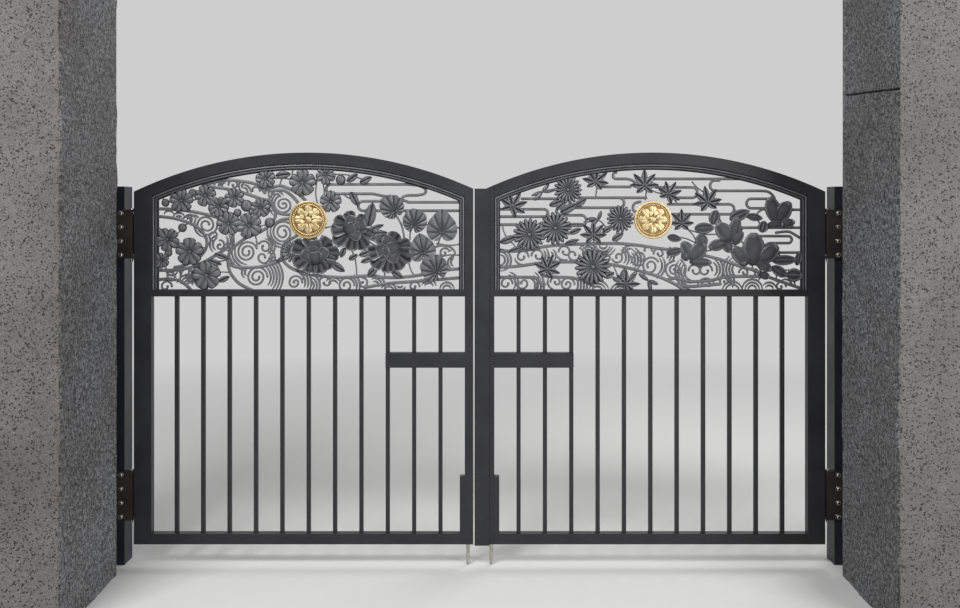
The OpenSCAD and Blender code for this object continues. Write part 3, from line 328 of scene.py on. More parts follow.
LEFT_MIST_CURVES = [
    [[248, 105.5], [258, 104.5], [265, 102], [267, 99], [265, 96], [258, 94.5]],
    [[250, 94.5], [245, 93.5], [242, 90]], [[214, 96], [226, 93.5], [238, 91.5], [250, 87.5]],
    [[221, 88.5], [226, 92]]
]
RIGHT_STREAMS = [
    [[-4, 38.5], [14, 38.5], [30, 40], [45, 43], [60, 44.5], [80, 45.5], [100, 46], [120, 46],
        [140, 44], [160, 41], [172, 39.5], [190, 37], [205, 34], [220, 30], [232, 26], [243, 22],
        [255, 19], [262, 15], [272, 11], [286, 6], [304, 0]],
    [[-4, 22], [15, 23], [30, 25], [45, 27], [60, 27.5], [75, 27.5], [85, 26.5], [110, 25],
        [130, 21], [143, 17.5], [155, 14], [165, 10], [175, 5], [186, -2]],
    [[168, 10], [176, 11], [188, 8], [200, 8], [213, 9.5], [225, 12.5], [240, 13], [260, 13]],
    [[175, 5], [190, 3], [205, 4], [220, 5.5]], [[-4, 12], [30, 12], [38, 10], [42, 4]],
    [[42, 14], [52, 12.5], [65, 12], [75, 11], [85, 8], [92, 4]]
]
RIGHT_THREADS = [[[254, 73], [262, 80], [275, 78], [293, 80]]]
RIGHT_STALKS = [
    [[0, 97], [12, 83], [15, 72]], [[30, 40], [29, 55], [55, 61.5], [84, 66]],
    [[2, 66], [8, 50], [18, 38]], [[36, 90], [42, 98], [67.5, 100]], [[42, 98], [48, 106]],
    [[67.5, 100], [69, 81]], [[67.5, 100], [86, 91]], [[95, 119], [95, 91]],
    [[93, 45], [93, 54], [106, 62]], [[84, 68], [98, 70], [106, 62], [120, 71]],
    [[117, 45], [120, 71], [138, 74]], [[144, 121], [145, 90]], [[144, 104], [168, 95], [178, 85]],
    [[192, 108], [205, 97], [207, 84]], [[197, 46], [188, 60], [181, 66], [177, 76]],
    [[173, 53], [197, 46]], [[188, 60], [225, 56]], [[168, 38], [198, 38]], [[225, 56], [215, 77]],
    [[225, 56], [240, 74], [254, 73], [262, 61]], [[225, 56], [222, 44], [200, 38]],
    [[236, 54], [253, 40]], [[243, 62], [236, 54]], [[253, 40], [253, 18]], [[253, 40], [280, 36]],
    [[283, 30], [304, 31]], [[277, 36], [283, 30]], [[262, 31], [278, 19], [304, 16]],
    [[278, 19], [276, 8]], [[35, 27], [47, 20], [47, 12]], [[92.5, 27], [93, 3]],
    [[113, 25], [125, 5], [121, -3]], [[143, 18], [148, 9], [152, -3]], [[230, 55], [232, 44]],
    [[288, 67], [290, 61]]
]
RIGHT_SCROLLS = [
    [23, 33, 5.4, 0, 1], [37, 34, 5.6, 180, -1], [64, 38, 5.4, 180, -1], [74, 34.5, 5.4, 0, -1],
    [104, 32, 5.6, 180, 1], [117, 32, 5, 200, 1], [139, 32, 5.2, 180, -1], [148, 39, 3.8, 0, 1],
    [158, 36, 4.6, 180, -1], [151, 24, 8, 30, 1], [174, 20, 8.4, 90, 1], [194, 19, 5.6, 180, -1],
    [206, 19, 6, 0, 1], [243, 17, 4.2, 180, -1], [224, 8, 4.2, 180, -1], [281, 3, 4.6, 0, 1],
    [7, 6, 5.4, 0, 1], [55, 7.5, 4.6, 180, -1], [68, 5, 6.4, 0, 1], [22, 6, 5.2, 180, 1]
]
RIGHT_RIPPLES = [
    [0, 29.5, 5, 11, -90, 90], [49, 34, 4, 7, -45, 60], [76, 34.5, 8, 11, -50, 60],
    [103, 45, 4, 7, 190, 350], [118, 32, 8, 11, -45, 70], [151, 24, 11, 14, -70, 40],
    [193, 18, 9, 18, 140, 265], [209, 20, 8, 14, -50, 60], [240, 20, 8, 17, 125, 240],
    [232, -2, 7, 10, 10, 170], [252, 0, 4, 10, 0, 180], [269, 0, 4, 7, 10, 150],
    [28, 3, 8, 8, -30, 70], [42, 3, 4, 4, 20, 160], [68, 5, 10, 10, -45, 45],
    [97, -3, 6, 12, 20, 160], [130, 36, 5, 8, 60, 200], [103, 46, 10, 13, 200, 340],
    [23, 33, 8.5, 8.5, 190, 300], [37, 34, 8.5, 11.5, -60, 40], [64, 38, 8.5, 8.5, 190, 290],
    [88, 36, 4, 10, 20, 150], [127, 30, 5, 14, -50, 60], [104, 32, 8.5, 8.5, 170, 300],
    [139, 32, 8, 8, 190, 300], [164, 34, 4, 10, -50, 60], [174, 20, 11.5, 11.5, -60, 60],
    [24, 4, 11, 20, -40, 50], [7, 6, 8.5, 11.5, -40, 80], [68, 5, 13, 19, -40, 45],
    [55, 7.5, 7.5, 7.5, 150, 260], [224, 8, 7, 10, -40, 50], [206, 2, 3, 9, 10, 170],
    [183, 4, 3, 3, 0, 170], [120, -4, 4, 10, 15, 165], [252, 16, 3, 9, -50, 60],
    [285, 3, 7, 10, 0, 120]
]
RIGHT_MIST_ROWS = [
    [91, 22, 58], [92, 80, 146], [82, 60, 119], [80.5, -4, 44], [73, -4, 44], [65, -4, 18],
    [74.5, 60, 81], [64, 60, 81], [117.5, 116, 118], [111, 116, 128], [111, 153, 242],
    [103, 101, 130], [102.5, 156, 192], [92, 176, 192], [85.5, 168, 200], [85.5, 216, 229],
    [75.5, 172, 229], [109.5, 215, 219], [99, 215, 260], [91, 251, 268], [81.5, 251, 268],
    [80, 290, 304], [62, 241, 304], [53.5, 260, 288], [46.5, 268, 288], [37, 276, 304]
]
RIGHT_MIST_TURNS = [
    [44, 73, 80.5, 1], [119, 82, 92, 1], [60, 74.5, 82, -1], [81, 64, 74.5, 1],
    [116, 111, 117.5, -1], [192, 92, 102.5, 1], [229, 75.5, 85.5, 1], [215, 99, 109.5, -1],
    [251, 81.5, 91, -1], [288, 46.5, 53.5, 1]
]
RIGHT_MIST_CURVES = [
    [[127, 111], [133, 109], [137, 104]], [[258, 99], [268, 98], [274, 92], [274, 86]],
    [[270, 46.5], [266, 45], [264, 40]], [[276, 57], [288, 58], [296, 54], [304, 49]],
    [[140, 88], [134, 86], [133, 80], [138, 76]], [[240, 111], [250, 109.5], [258, 108]]
]
LEFT_BLOSSOM_PLACES = [
    [23, 89, 12, 0], [47, 94, 11, 12], [60, 83, 10.5, 40], [76, 92, 10, 20], [102, 82, 10, 5],
    [70, 66, 12, 0], [90.5, 64, 13, 20], [31, 38, 14, 0], [9, 50, 12, 30], [48, 14, 14.5, 8],
    [107, 111, 10, 15], [144, 107, 13.5, 0], [167, 115, 10, 36], [172, 88, 11, 0], [3, 29, 8, 20]
]
LEFT_BUDS = [
    [7, 87, 4], [34, 97, 4], [24, 62, 4.4], [79, 77, 4], [88, 84, 6], [10, 37, 4], [111, 67, 5],
    [182, 110, 5], [93, 78, 3]
]
LEFT_BLOSSOM_LEAVES = [
    [[56, 36], [70, 31], 6], [[51, 29], [63, 25], 6], [[117, 114], [132, 116], 8],
    [[188, 108], [199, 116], 7], [[201, 107], [213, 113], 7], [[192, 98], [199, 84], 8],
    [[60, 8], [71, 13], 6]
]
LEFT_PEONIES = [
    [[196, 62], 11.5, 20, [[181, 68, 7], [179, 60, 7.5], [181, 50, 8], [193, 45, 7.5],
        [204, 46, 7.5], [210, 56, 6], [191, 73, 6.5], [203, 70, 6]]],
    [[156, 37], 12.5, 100, [[141, 42, 9], [152, 47, 8], [166, 45, 8.5], [174, 36, 8], [170, 28, 8],
        [162, 23, 8], [152, 23, 8], [142, 28, 8.5]]],
    [[230, 40], 12.5, 200, [[223, 50, 7], [235, 52, 7], [246, 45, 7], [247, 35, 9], [239, 26, 8],
        [229, 23, 7.5], [219, 27, 8], [216, 37, 8]]]
]
LEFT_PEONY_LEAVES = [
    [[208, 56], [229, 57], 7], [[207, 58], [225, 65], 6], [[207, 55], [222, 48], 6],
    [[209, 63], [214, 87], 12], [[186, 42], [182, 32], 6], [[190, 30], [199, 35], 6],
    [[212, 38], [200, 34], 7], [[214, 32], [202, 27], 6], [[218, 22], [209, 14], 8],
    [[232, 20], [244, 11], 7], [[172, 27], [186, 18], 8], [[150, 24], [138, 18], 6],
    [[126, 33], [118, 28], 4]
]
LEFT_FAN_PLACE = [134, 38, 11]
LEFT_LOTUS_PLACES = [[233, 83, 12.5, -60], [256, 69, 12.5, -100], [275, 22, 14, -60]]
LEFT_HEART_PLACES = [[283, 64, 16, 90], [263, 42, 14, 100]]
RIGHT_CHRYSANTHEMUM_PLACES = [
    [67.5, 100, 13.5, 0], [29, 55, 15.5, 5], [55, 61.5, 15.5, 0], [120, 71, 13, 0],
    [92.5, 22.5, 17, 4]
]
RIGHT_CHRYSANTHEMUM_LEAVES = [
    [[49, 84], [62, 89], 7], [[56, 80], [66, 89], 6], [[60, 77], [77, 86], 9],
    [[75, 84], [86, 91], 7], [[0, 47], [16, 53], 8], [[69, 56], [81, 61], 6],
    [[65, 46], [79, 50], 5], [[9, 38], [24, 43], 6], [[112, 49], [123, 57], 7],
    [[102, 57], [113, 64], 6], [[104, 12], [114, 17], 7]
]
RIGHT_MAPLE_PLACES = [
    [12, 83, 15, 60], [95, 108, 14, 80], [144, 104, 15, 90], [168, 95, 13, 60], [93, 54, 14, 90],
    [207, 87, 15, 100], [181, 66, 13, 90], [47, 20, 14, 70], [125, 5, 14, 45]
]
RIGHT_BAMBOO_LEAVES = [
    [[42, 98], [49, 106], 4], [[42, 98], [31, 94], 4], [[42, 98], [34, 89], 4.5],
    [[42, 98], [54, 99], 3.5], [[98, 70], [86, 71], 4.5], [[98, 70], [91, 65], 4],
    [[98, 70], [101, 79], 4], [[148, 9], [158, 5], 4.5], [[148, 9], [138, 16], 4.5],
    [[148, 9], [151, -3], 4.5], [[121, 8], [124, 21], 6], [[112, 12], [121, 7], 5],
    [[128, 8], [137, 19], 5]
]
RIGHT_BAMBOO_KNOTS = [[42, 98], [98, 70], [148, 9]]
RIGHT_MAGNOLIA_PETALS = [
    [[276, 67], [269, 93], 14], [[276, 68], [289, 88], 14], [[280, 65], [294, 68], 9],
    [[267, 65], [283, 65], 7], [[230, 49], [217, 67], 14], [[231, 48], [237, 73], 11],
    [[233, 45], [242, 58], 8], [[225, 47], [208, 42], 10], [[225, 48], [230, 37], 9],
    [[253, 24], [253, 57], 20], [[247, 25], [232, 43], 13], [[260, 28], [277, 44], 14],
    [[256, 29], [271, 19], 9], [[259, 16], [269, 12], 7], [[201, 42], [201, 56], 11],
    [[189, 28], [211, 27], 8], [[192, 32], [182, 48], 11], [[189, 30], [205, 46], 14],
    [[187, 29], [182, 37], 7]
]
RIGHT_MAGNOLIA_BUDS = [[243, 27, 4]]
RIGHT_POINTED_LEAVES = [
    [[194, 61], [214, 62], 10], [[167, 53], [181, 50], 7], [[167, 36], [182, 40], 8],
    [[212, 65], [216, 80], 10], [[229, 70], [249, 79], 10], [[246, 74], [262, 71], 7],
    [[261, 57], [264, 69], 9], [[271, 29], [297, 30], 9], [[271, 23], [287, 13], 9],
    [[286, 15], [302, 14], 12], [[296, 24], [299, 38], 6]
]


# Strokes: a rounded profile swept along a route, with round ends
PROFILE_ACROSS = np.array([-1, -0.93, -0.72, -0.38, 0, 0.38, 0.72, 0.93, 1, 0.8, 0, -0.8])
PROFILE_BACK = [0.05, 0, 0.05]
CAP_ANGLES = np.radians([22.5, 45, 67.5, 84])
STROKE_BACK_STEP, STROKE_BACK_PLANES = 0.1 * MM, 9


def profile_height(squareness):
    """Height of the profile's points, from 0 at the back to 1 at the crest."""
    front = np.abs(PROFILE_ACROSS[:-len(PROFILE_BACK)])
    rounded = (1 - front**squareness) ** (1 / squareness)
    return np.concatenate([0.5 + 0.5 * rounded, PROFILE_BACK])


def stroke(casting, route, width, crest, squareness=2.6, taper=0.0, gap=4 * MM):
    """Sweeps the profile along a route. The ends taper by that share of the width."""
    route = even(np.asarray(route, float), gap)
    count = len(route)
    ways = np.gradient(route, axis=0)
    ways /= np.linalg.norm(ways, axis=1)[:, None]
    scale = 1 - taper * (1 - np.sin(np.pi * np.linspace(0, 1, count)) ** 0.7)
    # Each ring's cap angle: below 0 before the start, 0 along the route, above 0 past the end
    caps = np.concatenate([-CAP_ANGLES[::-1], np.zeros(count), CAP_ANGLES])
    nearest = np.clip(np.arange(len(caps)) - len(CAP_ANGLES), 0, count - 1)
    scale, ways = scale[nearest], ways[nearest]
    centres = route[nearest] + ways * (width / 2 * scale * np.sin(caps))[:, None]
    halves = width / 2 * scale * np.cos(caps)
    swells = 0.3 + 0.7 * np.cos(caps)
    sides = np.stack([-ways[:, 1], ways[:, 0]], axis=1)
    plan = centres[:, None] + sides[:, None] * halves[:, None, None] * PROFILE_ACROSS[:, None]
    shape = profile_height(squareness)
    rise = 0.5 + (shape - 0.5) * np.where(shape > 0.5, swells[:, None], 1)
    back = BAND_BACK - STROKE_BACK_STEP * (len(casting.points) // 7 % STROKE_BACK_PLANES)
    rings = np.stack([plan[..., 0], back - rise * (back - crest), plan[..., 1]], axis=-1)
    # Painted light from the height: the crest lighter as painted highlight, the flanks and back darker
    # as painted shade
    shades_and_masks = np.clip((rise - 0.5) * 2, 0, 1) * (shape > 0.4)
    casting.tube(rings, shades_and_masks)


def line(side, points):
    return spline([spot(side, *p) for p in points], 8)


def bowed(side, ends, bow):
    """A stem between two places, bent a little to one side."""
    a, b = (spot(side, *end) for end in ends)
    across = b - a
    return spline([a, (a + b) / 2 + bow * np.array([-across[1], across[0]]), b])


def arc_route(centre, radius, start, end):
    turns = np.linspace(start, end, max(int(abs(end - start) / 9), 4))
    return centre + radius * toward(np.radians(turns))


def dome(casting, centre, radius, height, around=18, rings=5, flat=2.0, base=FLOWER_BASE):
    """A round button, flatter on top where flat is larger."""
    rise = np.maximum(1 - steps_out(rings) ** flat, 0) ** (1 / flat)
    rise = np.repeat((0.25 + 0.75 * rise)[:, None], around, axis=1)
    # The rise also paints it: lighter on top as painted highlight, darker at the foot as painted shade
    casting.disc(centre, circle(centre, radius, around), height * rise, base, rise)


def scroll(casting, side, place, width, crest):
    """A scroll winds inward by half turns to a round eye."""
    col, row, radius, turn, way = place
    step, smallest, inset = 2, 2.2, 0.4
    centre = spot(side, col, row)
    start = polar(UNIT, turn)
    last = int((radius - smallest) // step)
    points = []
    for k in range(last + 1):
        odd = k % 2
        begin = turn + 180 * odd
        middle = centre - odd * step * start
        half_ring = arc_route(middle, (radius - k * step) * UNIT, begin, begin + 180 * way)
        points += list(half_ring[min(k, 1):])
    inward = -1 if last % 2 == 0 else 1
    eye = (last % 2) * -step + inward * (radius - last * step - inset)
    stroke(casting, points, width, crest, gap=3.4 * MM)
    dome(casting, centre + eye * start, 5.6 * MM, BAND_BACK - crest + 1.2 * MM, base=EYE_BASE)


def ripples(casting, side, place, width, crest):
    """Arcs round one centre, every second one a little shorter."""
    col, row, small, large, start, end = place
    pitch, trim = 3, 4
    for i, radius in enumerate(np.arange(small, large + 0.01, pitch)):
        short = trim * (i % 2)
        route = arc_route(spot(side, col, row), radius * UNIT, start + short, end - short)
        stroke(casting, route, width * 1.1, crest, squareness=2.2, taper=0.6, gap=4.4 * MM)


def meeting(pieces, reach):
    """The first two polylines with ends within reach, and the two as one."""
    for i, j in itertools.combinations(range(len(pieces)), 2):
        for a, b in ((1, 1), (1, -1), (-1, 1), (-1, -1)):
            first, second = pieces[i][::a], pieces[j][::b]
            if np.linalg.norm(first[-1] - second[0]) < reach:
                return i, j, np.vstack([first[:-1], second])
    return None


def mist(side, rows, turns, curves):
    """The mist bars as continuous routes: straight rows, half-ring turns and curves."""
    routes = [[spot(side, a, row), spot(side, b, row)] for row, a, b in rows]
    for col, low, high, way in turns:
        middle = spot(side, col, (low + high) / 2)
        routes.append(arc_route(middle, (high - low) * GZ / 2, -90, -90 + 180 * way))
    routes += [line(side, curve) for curve in curves]
    routes = [np.array(route, float) for route in routes]
    while found := meeting(routes, 3.2 * GX):
        i, j, routes[i] = found
        del routes[j]
    return routes


# Relief patches: u runs from foot to tip, v from edge to edge
def patch(casting, foot, degrees, length, width, height, outline, surface,
          tip=None, tone=None, along=13, across=11, base=FLOWER_BASE):
    """One petal or leaf: its outline by surface heights, and its painted light and shade by the height,
    or by tone where given.
    """
    u = (0.5 - 0.5 * np.cos(np.pi * np.linspace(0, 1, along)))[:, None]
    v = np.linspace(-1, 1, across)[None, :]
    x = length * u * (tip(u, v) if tip else np.ones_like(v))
    y = 0.5 * width * outline(u) * v
    plan = foot + x[..., None] * polar(1, degrees) + y[..., None] * polar(1, degrees + 90)
    share = np.clip(surface(u, v), 0.08, 1.2)
    casting.shell(plan, height * share, base, tone(u, v) if tone else share)


def hump(x, power=1.0):
    """Half a wave while x runs from 0 to 1; a low power makes it fuller."""
    return np.sin(np.pi * np.clip(x, 0, 1)) ** power


def ridge(x, width):
    """1 at 0, falling off to both sides."""
    return np.exp(-((x / width) ** 2))


def blunt(u, power, least=0.004, end=0.5):
    """1 along a petal, closing near its tip; a higher power keeps it wide for longer."""
    return np.maximum(1 - u**power, least) ** end


def round_outline(u):
    return np.clip(1.16 * (0.1 + 0.9 * u) ** 0.7 * blunt(u, 5), 0.02, 1)


def full_outline(u):
    return np.clip(hump(u**0.88, 0.62), 0.03, 1)


def oval_outline(u):
    return np.clip(hump(0.04 + 0.93 * u, 0.6), 0.03, 1)


def lobe_outline(u):
    return np.clip(np.maximum(0.5 - 0.6 * u, hump(u**0.9, 0.9)), 0.03, 1)


def spoon_outline(u):
    return np.clip((0.4 + 0.6 * u) * blunt(u, 8), 0.03, 1)


def bowl_outline(u):
    return np.clip((0.5 + 0.62 * u) * blunt(u, 5, 0.003), 0.02, 1)


def broad_outline(u):
    return np.clip((0.3 + 0.85 * u) ** 0.8 * blunt(u, 6, end=0.42), 0.02, 1)


def flutes(v):
    return np.cos(2.4 * np.pi * v)


def notched(u, v):
    return 1 - 0.1 * ridge(v, 0.26) * u**4


def frilled(u, v):
    return 1 - 0.05 * (1 - flutes(v)) * u**3 - 0.1 * v**4 * u


def from_edge(u, v):
    return np.minimum(1 - np.abs(v), 2.4 * (1 - u))


def edge_rim(u, v, inset, width):
    """1 along a line just inside the patch's edge, falling to 0 on both sides of it."""
    return ridge(from_edge(u, v) - inset, width)


def rounded_edge(u, v, width):
    near = np.clip(from_edge(u, v) / width, 0, 1)
    return 0.55 + 0.45 * np.sqrt(near * (2 - near))


def blossom_surface(u, v):
    """Two full lobes with a crease between them, deep at the flower's heart."""
    lobes = 0.54 + 0.46 * hump(0.05 + 0.9 * np.abs(v), 0.6)
    return lobes * (0.3 + 0.7 * hump(0.05 + 0.72 * u, 0.9)) * rounded_edge(u, v, 0.28)


def spoon_surface(u, v):
    across = np.sqrt(np.maximum(1 - 0.86 * v**2, 0))
    return across * (0.34 + 0.66 * hump(0.08 + 0.66 * u)) * rounded_edge(u, v, 0.3)


def leaf_surface(u, v):
    """A roof with a groove for the midrib, and slanting veins."""
    roof = 0.66 + 0.3 * hump(np.abs(v)) - 0.42 * ridge(v, 0.12)
    veins = np.abs(np.cos(np.pi * (3.2 * u - 1.4 * np.abs(v)))) ** 5 * np.sqrt(np.abs(v))
    rim = edge_rim(u, v, 0.16, 0.12)
    return (roof - 0.34 * veins + 0.12 * rim) * (0.68 + 0.32 * hump(u))


def ribbed_surface(u, v):
    """Pointed leaves: a midrib and a raised outline, with hollows between them."""
    return (0.5 + 0.34 * ridge(v, 0.15) + 0.4 * edge_rim(u, v, 0.2, 0.17)) * (0.8 + 0.2 * hump(u))


# Painted light on pointed leaves: midrib and outline lighter as painted highlight, hollows darker as
# painted shade
def ribbed_painted_light(u, v):
    return np.clip(0.44 + 0.5 * ridge(v, 0.15) + 0.7 * edge_rim(u, v, 0.2, 0.15), 0, 1)


def blade_surface(u, v):
    return (0.5 + 0.5 * (1 - np.abs(v)) ** 1.2) * (0.8 + 0.2 * hump(u))


def maple_surface(u, v):
    return (0.22 + 0.78 * hump(0.05 + 0.7 * np.abs(v), 1.1)) * (0.76 + 0.24 * hump(u + 0.1))


def pillow(u, v):
    """1 in the middle of a petal, rounding down to 0 at its edges."""
    return np.maximum(1 - v**2, 0) ** 0.75 * hump(0.12 + 0.76 * u, 0.8)


def cup_fill(u, v):
    return pillow(u, np.clip(v / 0.84, -1, 1))


def cup_surface(u, v):
    """Magnolia petals: smooth and full in the middle, with a turned-up rim."""
    return 0.3 + 0.6 * cup_fill(u, v) + 0.42 * edge_rim(u, v, 0.16, 0.14)


# Painted light on magnolia petals: a bright rim as painted highlight, lighter where full and towards
# the tip, darker at the foot as painted shade
def cup_painted_light(u, v):
    rim = edge_rim(u, v, 0.12, 0.17) * (0.35 + 0.65 * u)
    return np.clip(0.2 + 0.4 * cup_fill(u, v) + 0.14 * u + 1.1 * rim, 0, 1)


def frill_surface(u, v):
    """Outer peony petals: fluted, rippled at the edge, one side lying over the next petal."""
    body = 0.34 + 0.36 * u**1.1 + 0.2 * v + 0.15 * flutes(v) * u**0.9
    return (body + 0.16 * edge_rim(u, v, 0.08, 0.08)) * rounded_edge(u, v, 0.1)


# Painted light on outer peony petals: lighter along the flutes and at the tip, a bright edge as painted
# highlight, darker at the foot as painted shade
def frill_painted_light(u, v):
    body = 0.28 + 0.22 * u + 0.1 * v + 0.22 * flutes(v) * u**0.8
    return np.clip(body + 0.6 * edge_rim(u, v, 0.07, 0.1), 0, 1)


def bowl_surface(u, v):
    """Petals folded round a peony's heart: full and smooth, with a lip at the tip."""
    full = hump(0.16 + 0.6 * u) * (1 - 0.42 * v**2)
    return 0.26 + 0.62 * full + 0.24 * edge_rim(u, v, 0.12, 0.12) * u


# Painted light on the heart's folded petals: lighter where full, a bright lip as painted highlight,
# darker at the foot and sides as painted shade
def bowl_painted_light(u, v):
    full = hump(0.1 + 0.62 * u) * (1 - 0.75 * v**2)
    return np.clip(0.08 + 0.5 * full + 1.1 * edge_rim(u, v, 0.1, 0.12) * u, 0, 1)


# Flowers and leaves: a place is column, row and size, and the turn where there is one
def leaf(casting, side, entry, height=10 * MM, outline=full_outline, surface=leaf_surface,
         base=LEAF_BASE, **more):
    """A leaf or petal from its foot to its tip, with its width."""
    foot, tip, width = entry
    start = spot(side, *foot)
    way = spot(side, *tip) - start
    patch(casting, start, heading(way), np.linalg.norm(way), width * UNIT, height,
          outline, surface, base=base, **more)


def low_disc(casting, centre, radius, height, around=24):
    """The plain ground under a flower, painted dark as the shade between its petals."""
    rise = np.repeat(np.array([1.0, 0.95, 0.8])[:, None], around, axis=1)
    casting.disc(centre, circle(centre, radius, around), height * rise, FLOWER_BASE, 0.1 * rise)


def blossom(casting, side, place):
    hub, r, turn = placed(side, place)
    petals = 5
    low_disc(casting, hub, 0.5 * r, 4 * MM)
    for i in range(petals):
        way = turn + 90 + i * 360 / petals
        patch(casting, hub + polar(0.07 * r, way), way, length=0.93 * r, width=1.07 * r,
              height=12.5 * MM, outline=round_outline, surface=blossom_surface, tip=notched,
              across=17, along=15)
        dome(casting, hub + polar(0.25 * r, way + 180 / petals), 0.04 * r, 9 * MM, around=8, rings=3)
    dome(casting, hub, 0.13 * r, 10.5 * MM, around=14)


def spoon_petal(casting, hub, way, start, **sizes):
    patch(casting, hub + polar(start, way), way, outline=spoon_outline, surface=spoon_surface,
          across=9, **sizes)


def chrysanthemum(casting, side, place):
    hub, r, turn = placed(side, place)
    r *= 1.06
    petals = 18
    low_disc(casting, hub, 0.8 * r, 3 * MM)
    for i in range(petals):
        way = turn + i * 360 / petals
        spoon_petal(casting, hub, way, start=0.14 * r, length=0.86 * r, width=0.305 * r,
                    height=12.5 * MM, along=11)
    dome(casting, hub, 0.14 * r, 11 * MM, around=20)


def fan(casting, side, place):
    """A fluted fan of petals seen from the side."""
    hub, r = placed(side, place)
    petals, first, pitch = 9, 84, 24
    for i in range(petals):
        spoon_petal(casting, hub, first + i * pitch, start=0.2 * r, length=0.82 * r,
                    width=0.36 * r, height=10 * MM, along=10)


def maple_leaf(casting, side, place):
    hub, r, turn = placed(side, place)
    r *= 1.16
    lobes = [(-132, 0.62), (-86, 0.84), (-42, 0.94), (0, 1), (42, 0.94), (86, 0.84), (132, 0.62)]
    low_disc(casting, hub, 0.24 * r, 5 * MM)
    for i, (angle, length) in enumerate(lobes):
        patch(casting, hub, turn + angle, length * r, width=0.35 * r,
              height=(12 - 0.15 * i) * MM, outline=lobe_outline, surface=maple_surface)


def bud(casting, side, place):
    """A round bud: two petals folded over a ball."""
    centre, r = placed(side, place)
    dome(casting, centre, r, 8.5 * MM, around=26, rings=7)
    for i, (way, shift) in enumerate(((100, -0.28), (72, 0.34))):
        foot = centre + polar(0.94 * r, way + 180) + polar(shift * r, way - 90)
        patch(casting, foot, way, length=1.8 * r, width=1.3 * r, height=(10.4 + 1.6 * i) * MM,
              outline=oval_outline, surface=pillow, across=15)


def fan_rise(panels, shares, low, slope, rush):
    """Height of a ribbed leaf: grooves run out from the hub, and the panels between are full."""
    return low + slope * shares + 0.5 * panels * np.minimum(shares * rush, 1)


def lotus_leaf(casting, side, place):
    """A round ribbed leaf with its hub near the notch, and two small curls there."""
    middle, r, turn = placed(side, place)
    ribs, notch, notch_half = 14, math.radians(turn), 0.42
    hub = middle + polar(0.42 * r, turn)
    angles = notch + full_turn(12 * ribs)
    offset = hub - middle
    along = toward(angles) @ offset
    reach = -along + np.sqrt(np.maximum(along**2 - offset @ offset + r * r, 0))
    waves = np.abs(np.sin((angles - notch) * ribs / 2))
    open_by = np.minimum(np.abs(angles - notch), 2 * np.pi - np.abs(angles - notch))
    reach = reach * (1 - 0.06 * (1 - waves)) * np.clip(open_by / notch_half, 0.3, 1)
    rise = fan_rise(waves**0.8, steps_out(9)[:, None], 0.32, 0.2, 1.6)
    # The rise also paints it: full panels lighter as painted highlight, grooves darker as painted shade
    casting.disc(hub, hub + reach[:, None] * toward(angles), 11 * MM * rise, FLOWER_BASE, rise)
    for half in (-1, 1):
        dome(casting, hub + polar(0.17 * r, turn + half * 62), 0.11 * r, 11 * MM, around=14)


def heart_leaf(casting, side, place):
    """A pointed leaf with veins that run out from its notch."""
    middle, r, turn = placed(side, place)
    hub = middle - polar(0.38 * r, turn)
    bends = np.array([0, 12, 30, 60, 95, 125, 150, 165, 180])
    reaches = np.array([1.42, 1.3, 1.12, 1.02, 0.94, 0.84, 0.66, 0.5, 0.26])
    veins = np.radians([0, 34, 66, 100, 136, 180])
    local = np.linspace(-np.pi, np.pi, 180, endpoint=False)
    reach = r * np.interp(np.degrees(np.abs(local)), bends, reaches)
    shares = steps_out(11)[:, None]
    bent = np.abs(local) + 0.16 * shares * np.sign(np.abs(local))
    vein = np.clip(np.searchsorted(veins, bent, side="right") - 1, 0, len(veins) - 2)
    panels = hump((bent - veins[vein]) / (veins[vein + 1] - veins[vein]), 0.7)
    rise = fan_rise(panels, shares, 0.34, 0.16, 1.8)
    outline = hub + reach[:, None] * toward(local + math.radians(turn))
    # The rise also paints it: full panels lighter as painted highlight, veins darker as painted shade
    casting.disc(hub, outline, 11 * MM * rise, HEART_BASE, rise)
    for half in (-1, 1):
        dome(casting, hub - polar(0.1 * r, turn + half * 70), 0.09 * r, 10.5 * MM, around=14,
             base=HEART_BASE)


def peony_heart(casting, middle, r, turn):
    """Petals folded into a bowl that opens towards turn, with a small fold inside it."""
    dome(casting, middle, 0.96 * r, 7 * MM, around=40, rings=8, flat=2.8)
    folded = [
        (-0.1, 0, 1.14, 1.7, 9.0), (-0.1, 30, 0.72, 0.8, 11.0), (-0.1, -24, 0.6, 0.7, 12.6),
        (-0.86, 42, 1.54, 1.15, 11.4), (-0.86, -44, 1.48, 1.1, 13.0), (-1.0, 2, 1.1, 1.4, 15.0)
    ]
    for back, swing, length, width, height in folded:
        patch(casting, middle + polar(back * r, turn), turn + swing, length * r, width * r,
              height * MM, bowl_outline, bowl_surface, tone=bowl_painted_light, across=21, along=17)


def peony(casting, side, entry):
    """Broad fluted outer petals, laid round a heart of folded ones."""
    (col, row), heart, turn, petals = entry
    middle, r = placed(side, (col, row, heart))
    low_disc(casting, middle, 0.9 * heart * UNIT, 4 * MM)
    for i, place in enumerate(petals):
        centre, size = placed(side, place)
        away = centre - middle
        length = 0.7 * np.linalg.norm(away) + size
        patch(casting, middle + 0.3 * away, heading(away), length, width=2.3 * size,
              height=(9.6 + 3.2 * (i % 2)) * MM, outline=broad_outline, surface=frill_surface,
              tip=frilled, tone=frill_painted_light, across=25, along=17)
    peony_heart(casting, middle, r, turn)


# Pieces of the panels
STREAM_W, THREAD_W, STALK_W, MIST_W = 14.5 * MM, 9.2 * MM, 6.5 * MM, 12.5 * MM
WATER_CREST = BAND_FRONT + 0.2 * MM
THREAD_CREST = BAND_FRONT + 1.0 * MM
RIPPLE_CREST = BAND_FRONT + 1.6 * MM
STALK_CREST = BAND_FRONT + 2.2 * MM
MIST_CREST = BAND_FRONT + 0.8 * MM
STALK_BOW = 0.07
FINE_RELIEF = {"across": 25, "along": 17}
PETAL_RELIEF = {"across": 31, "along": 23}


def each(draw, casting, side, places, **more):
    for place in places:
        draw(casting, side, place, **more)


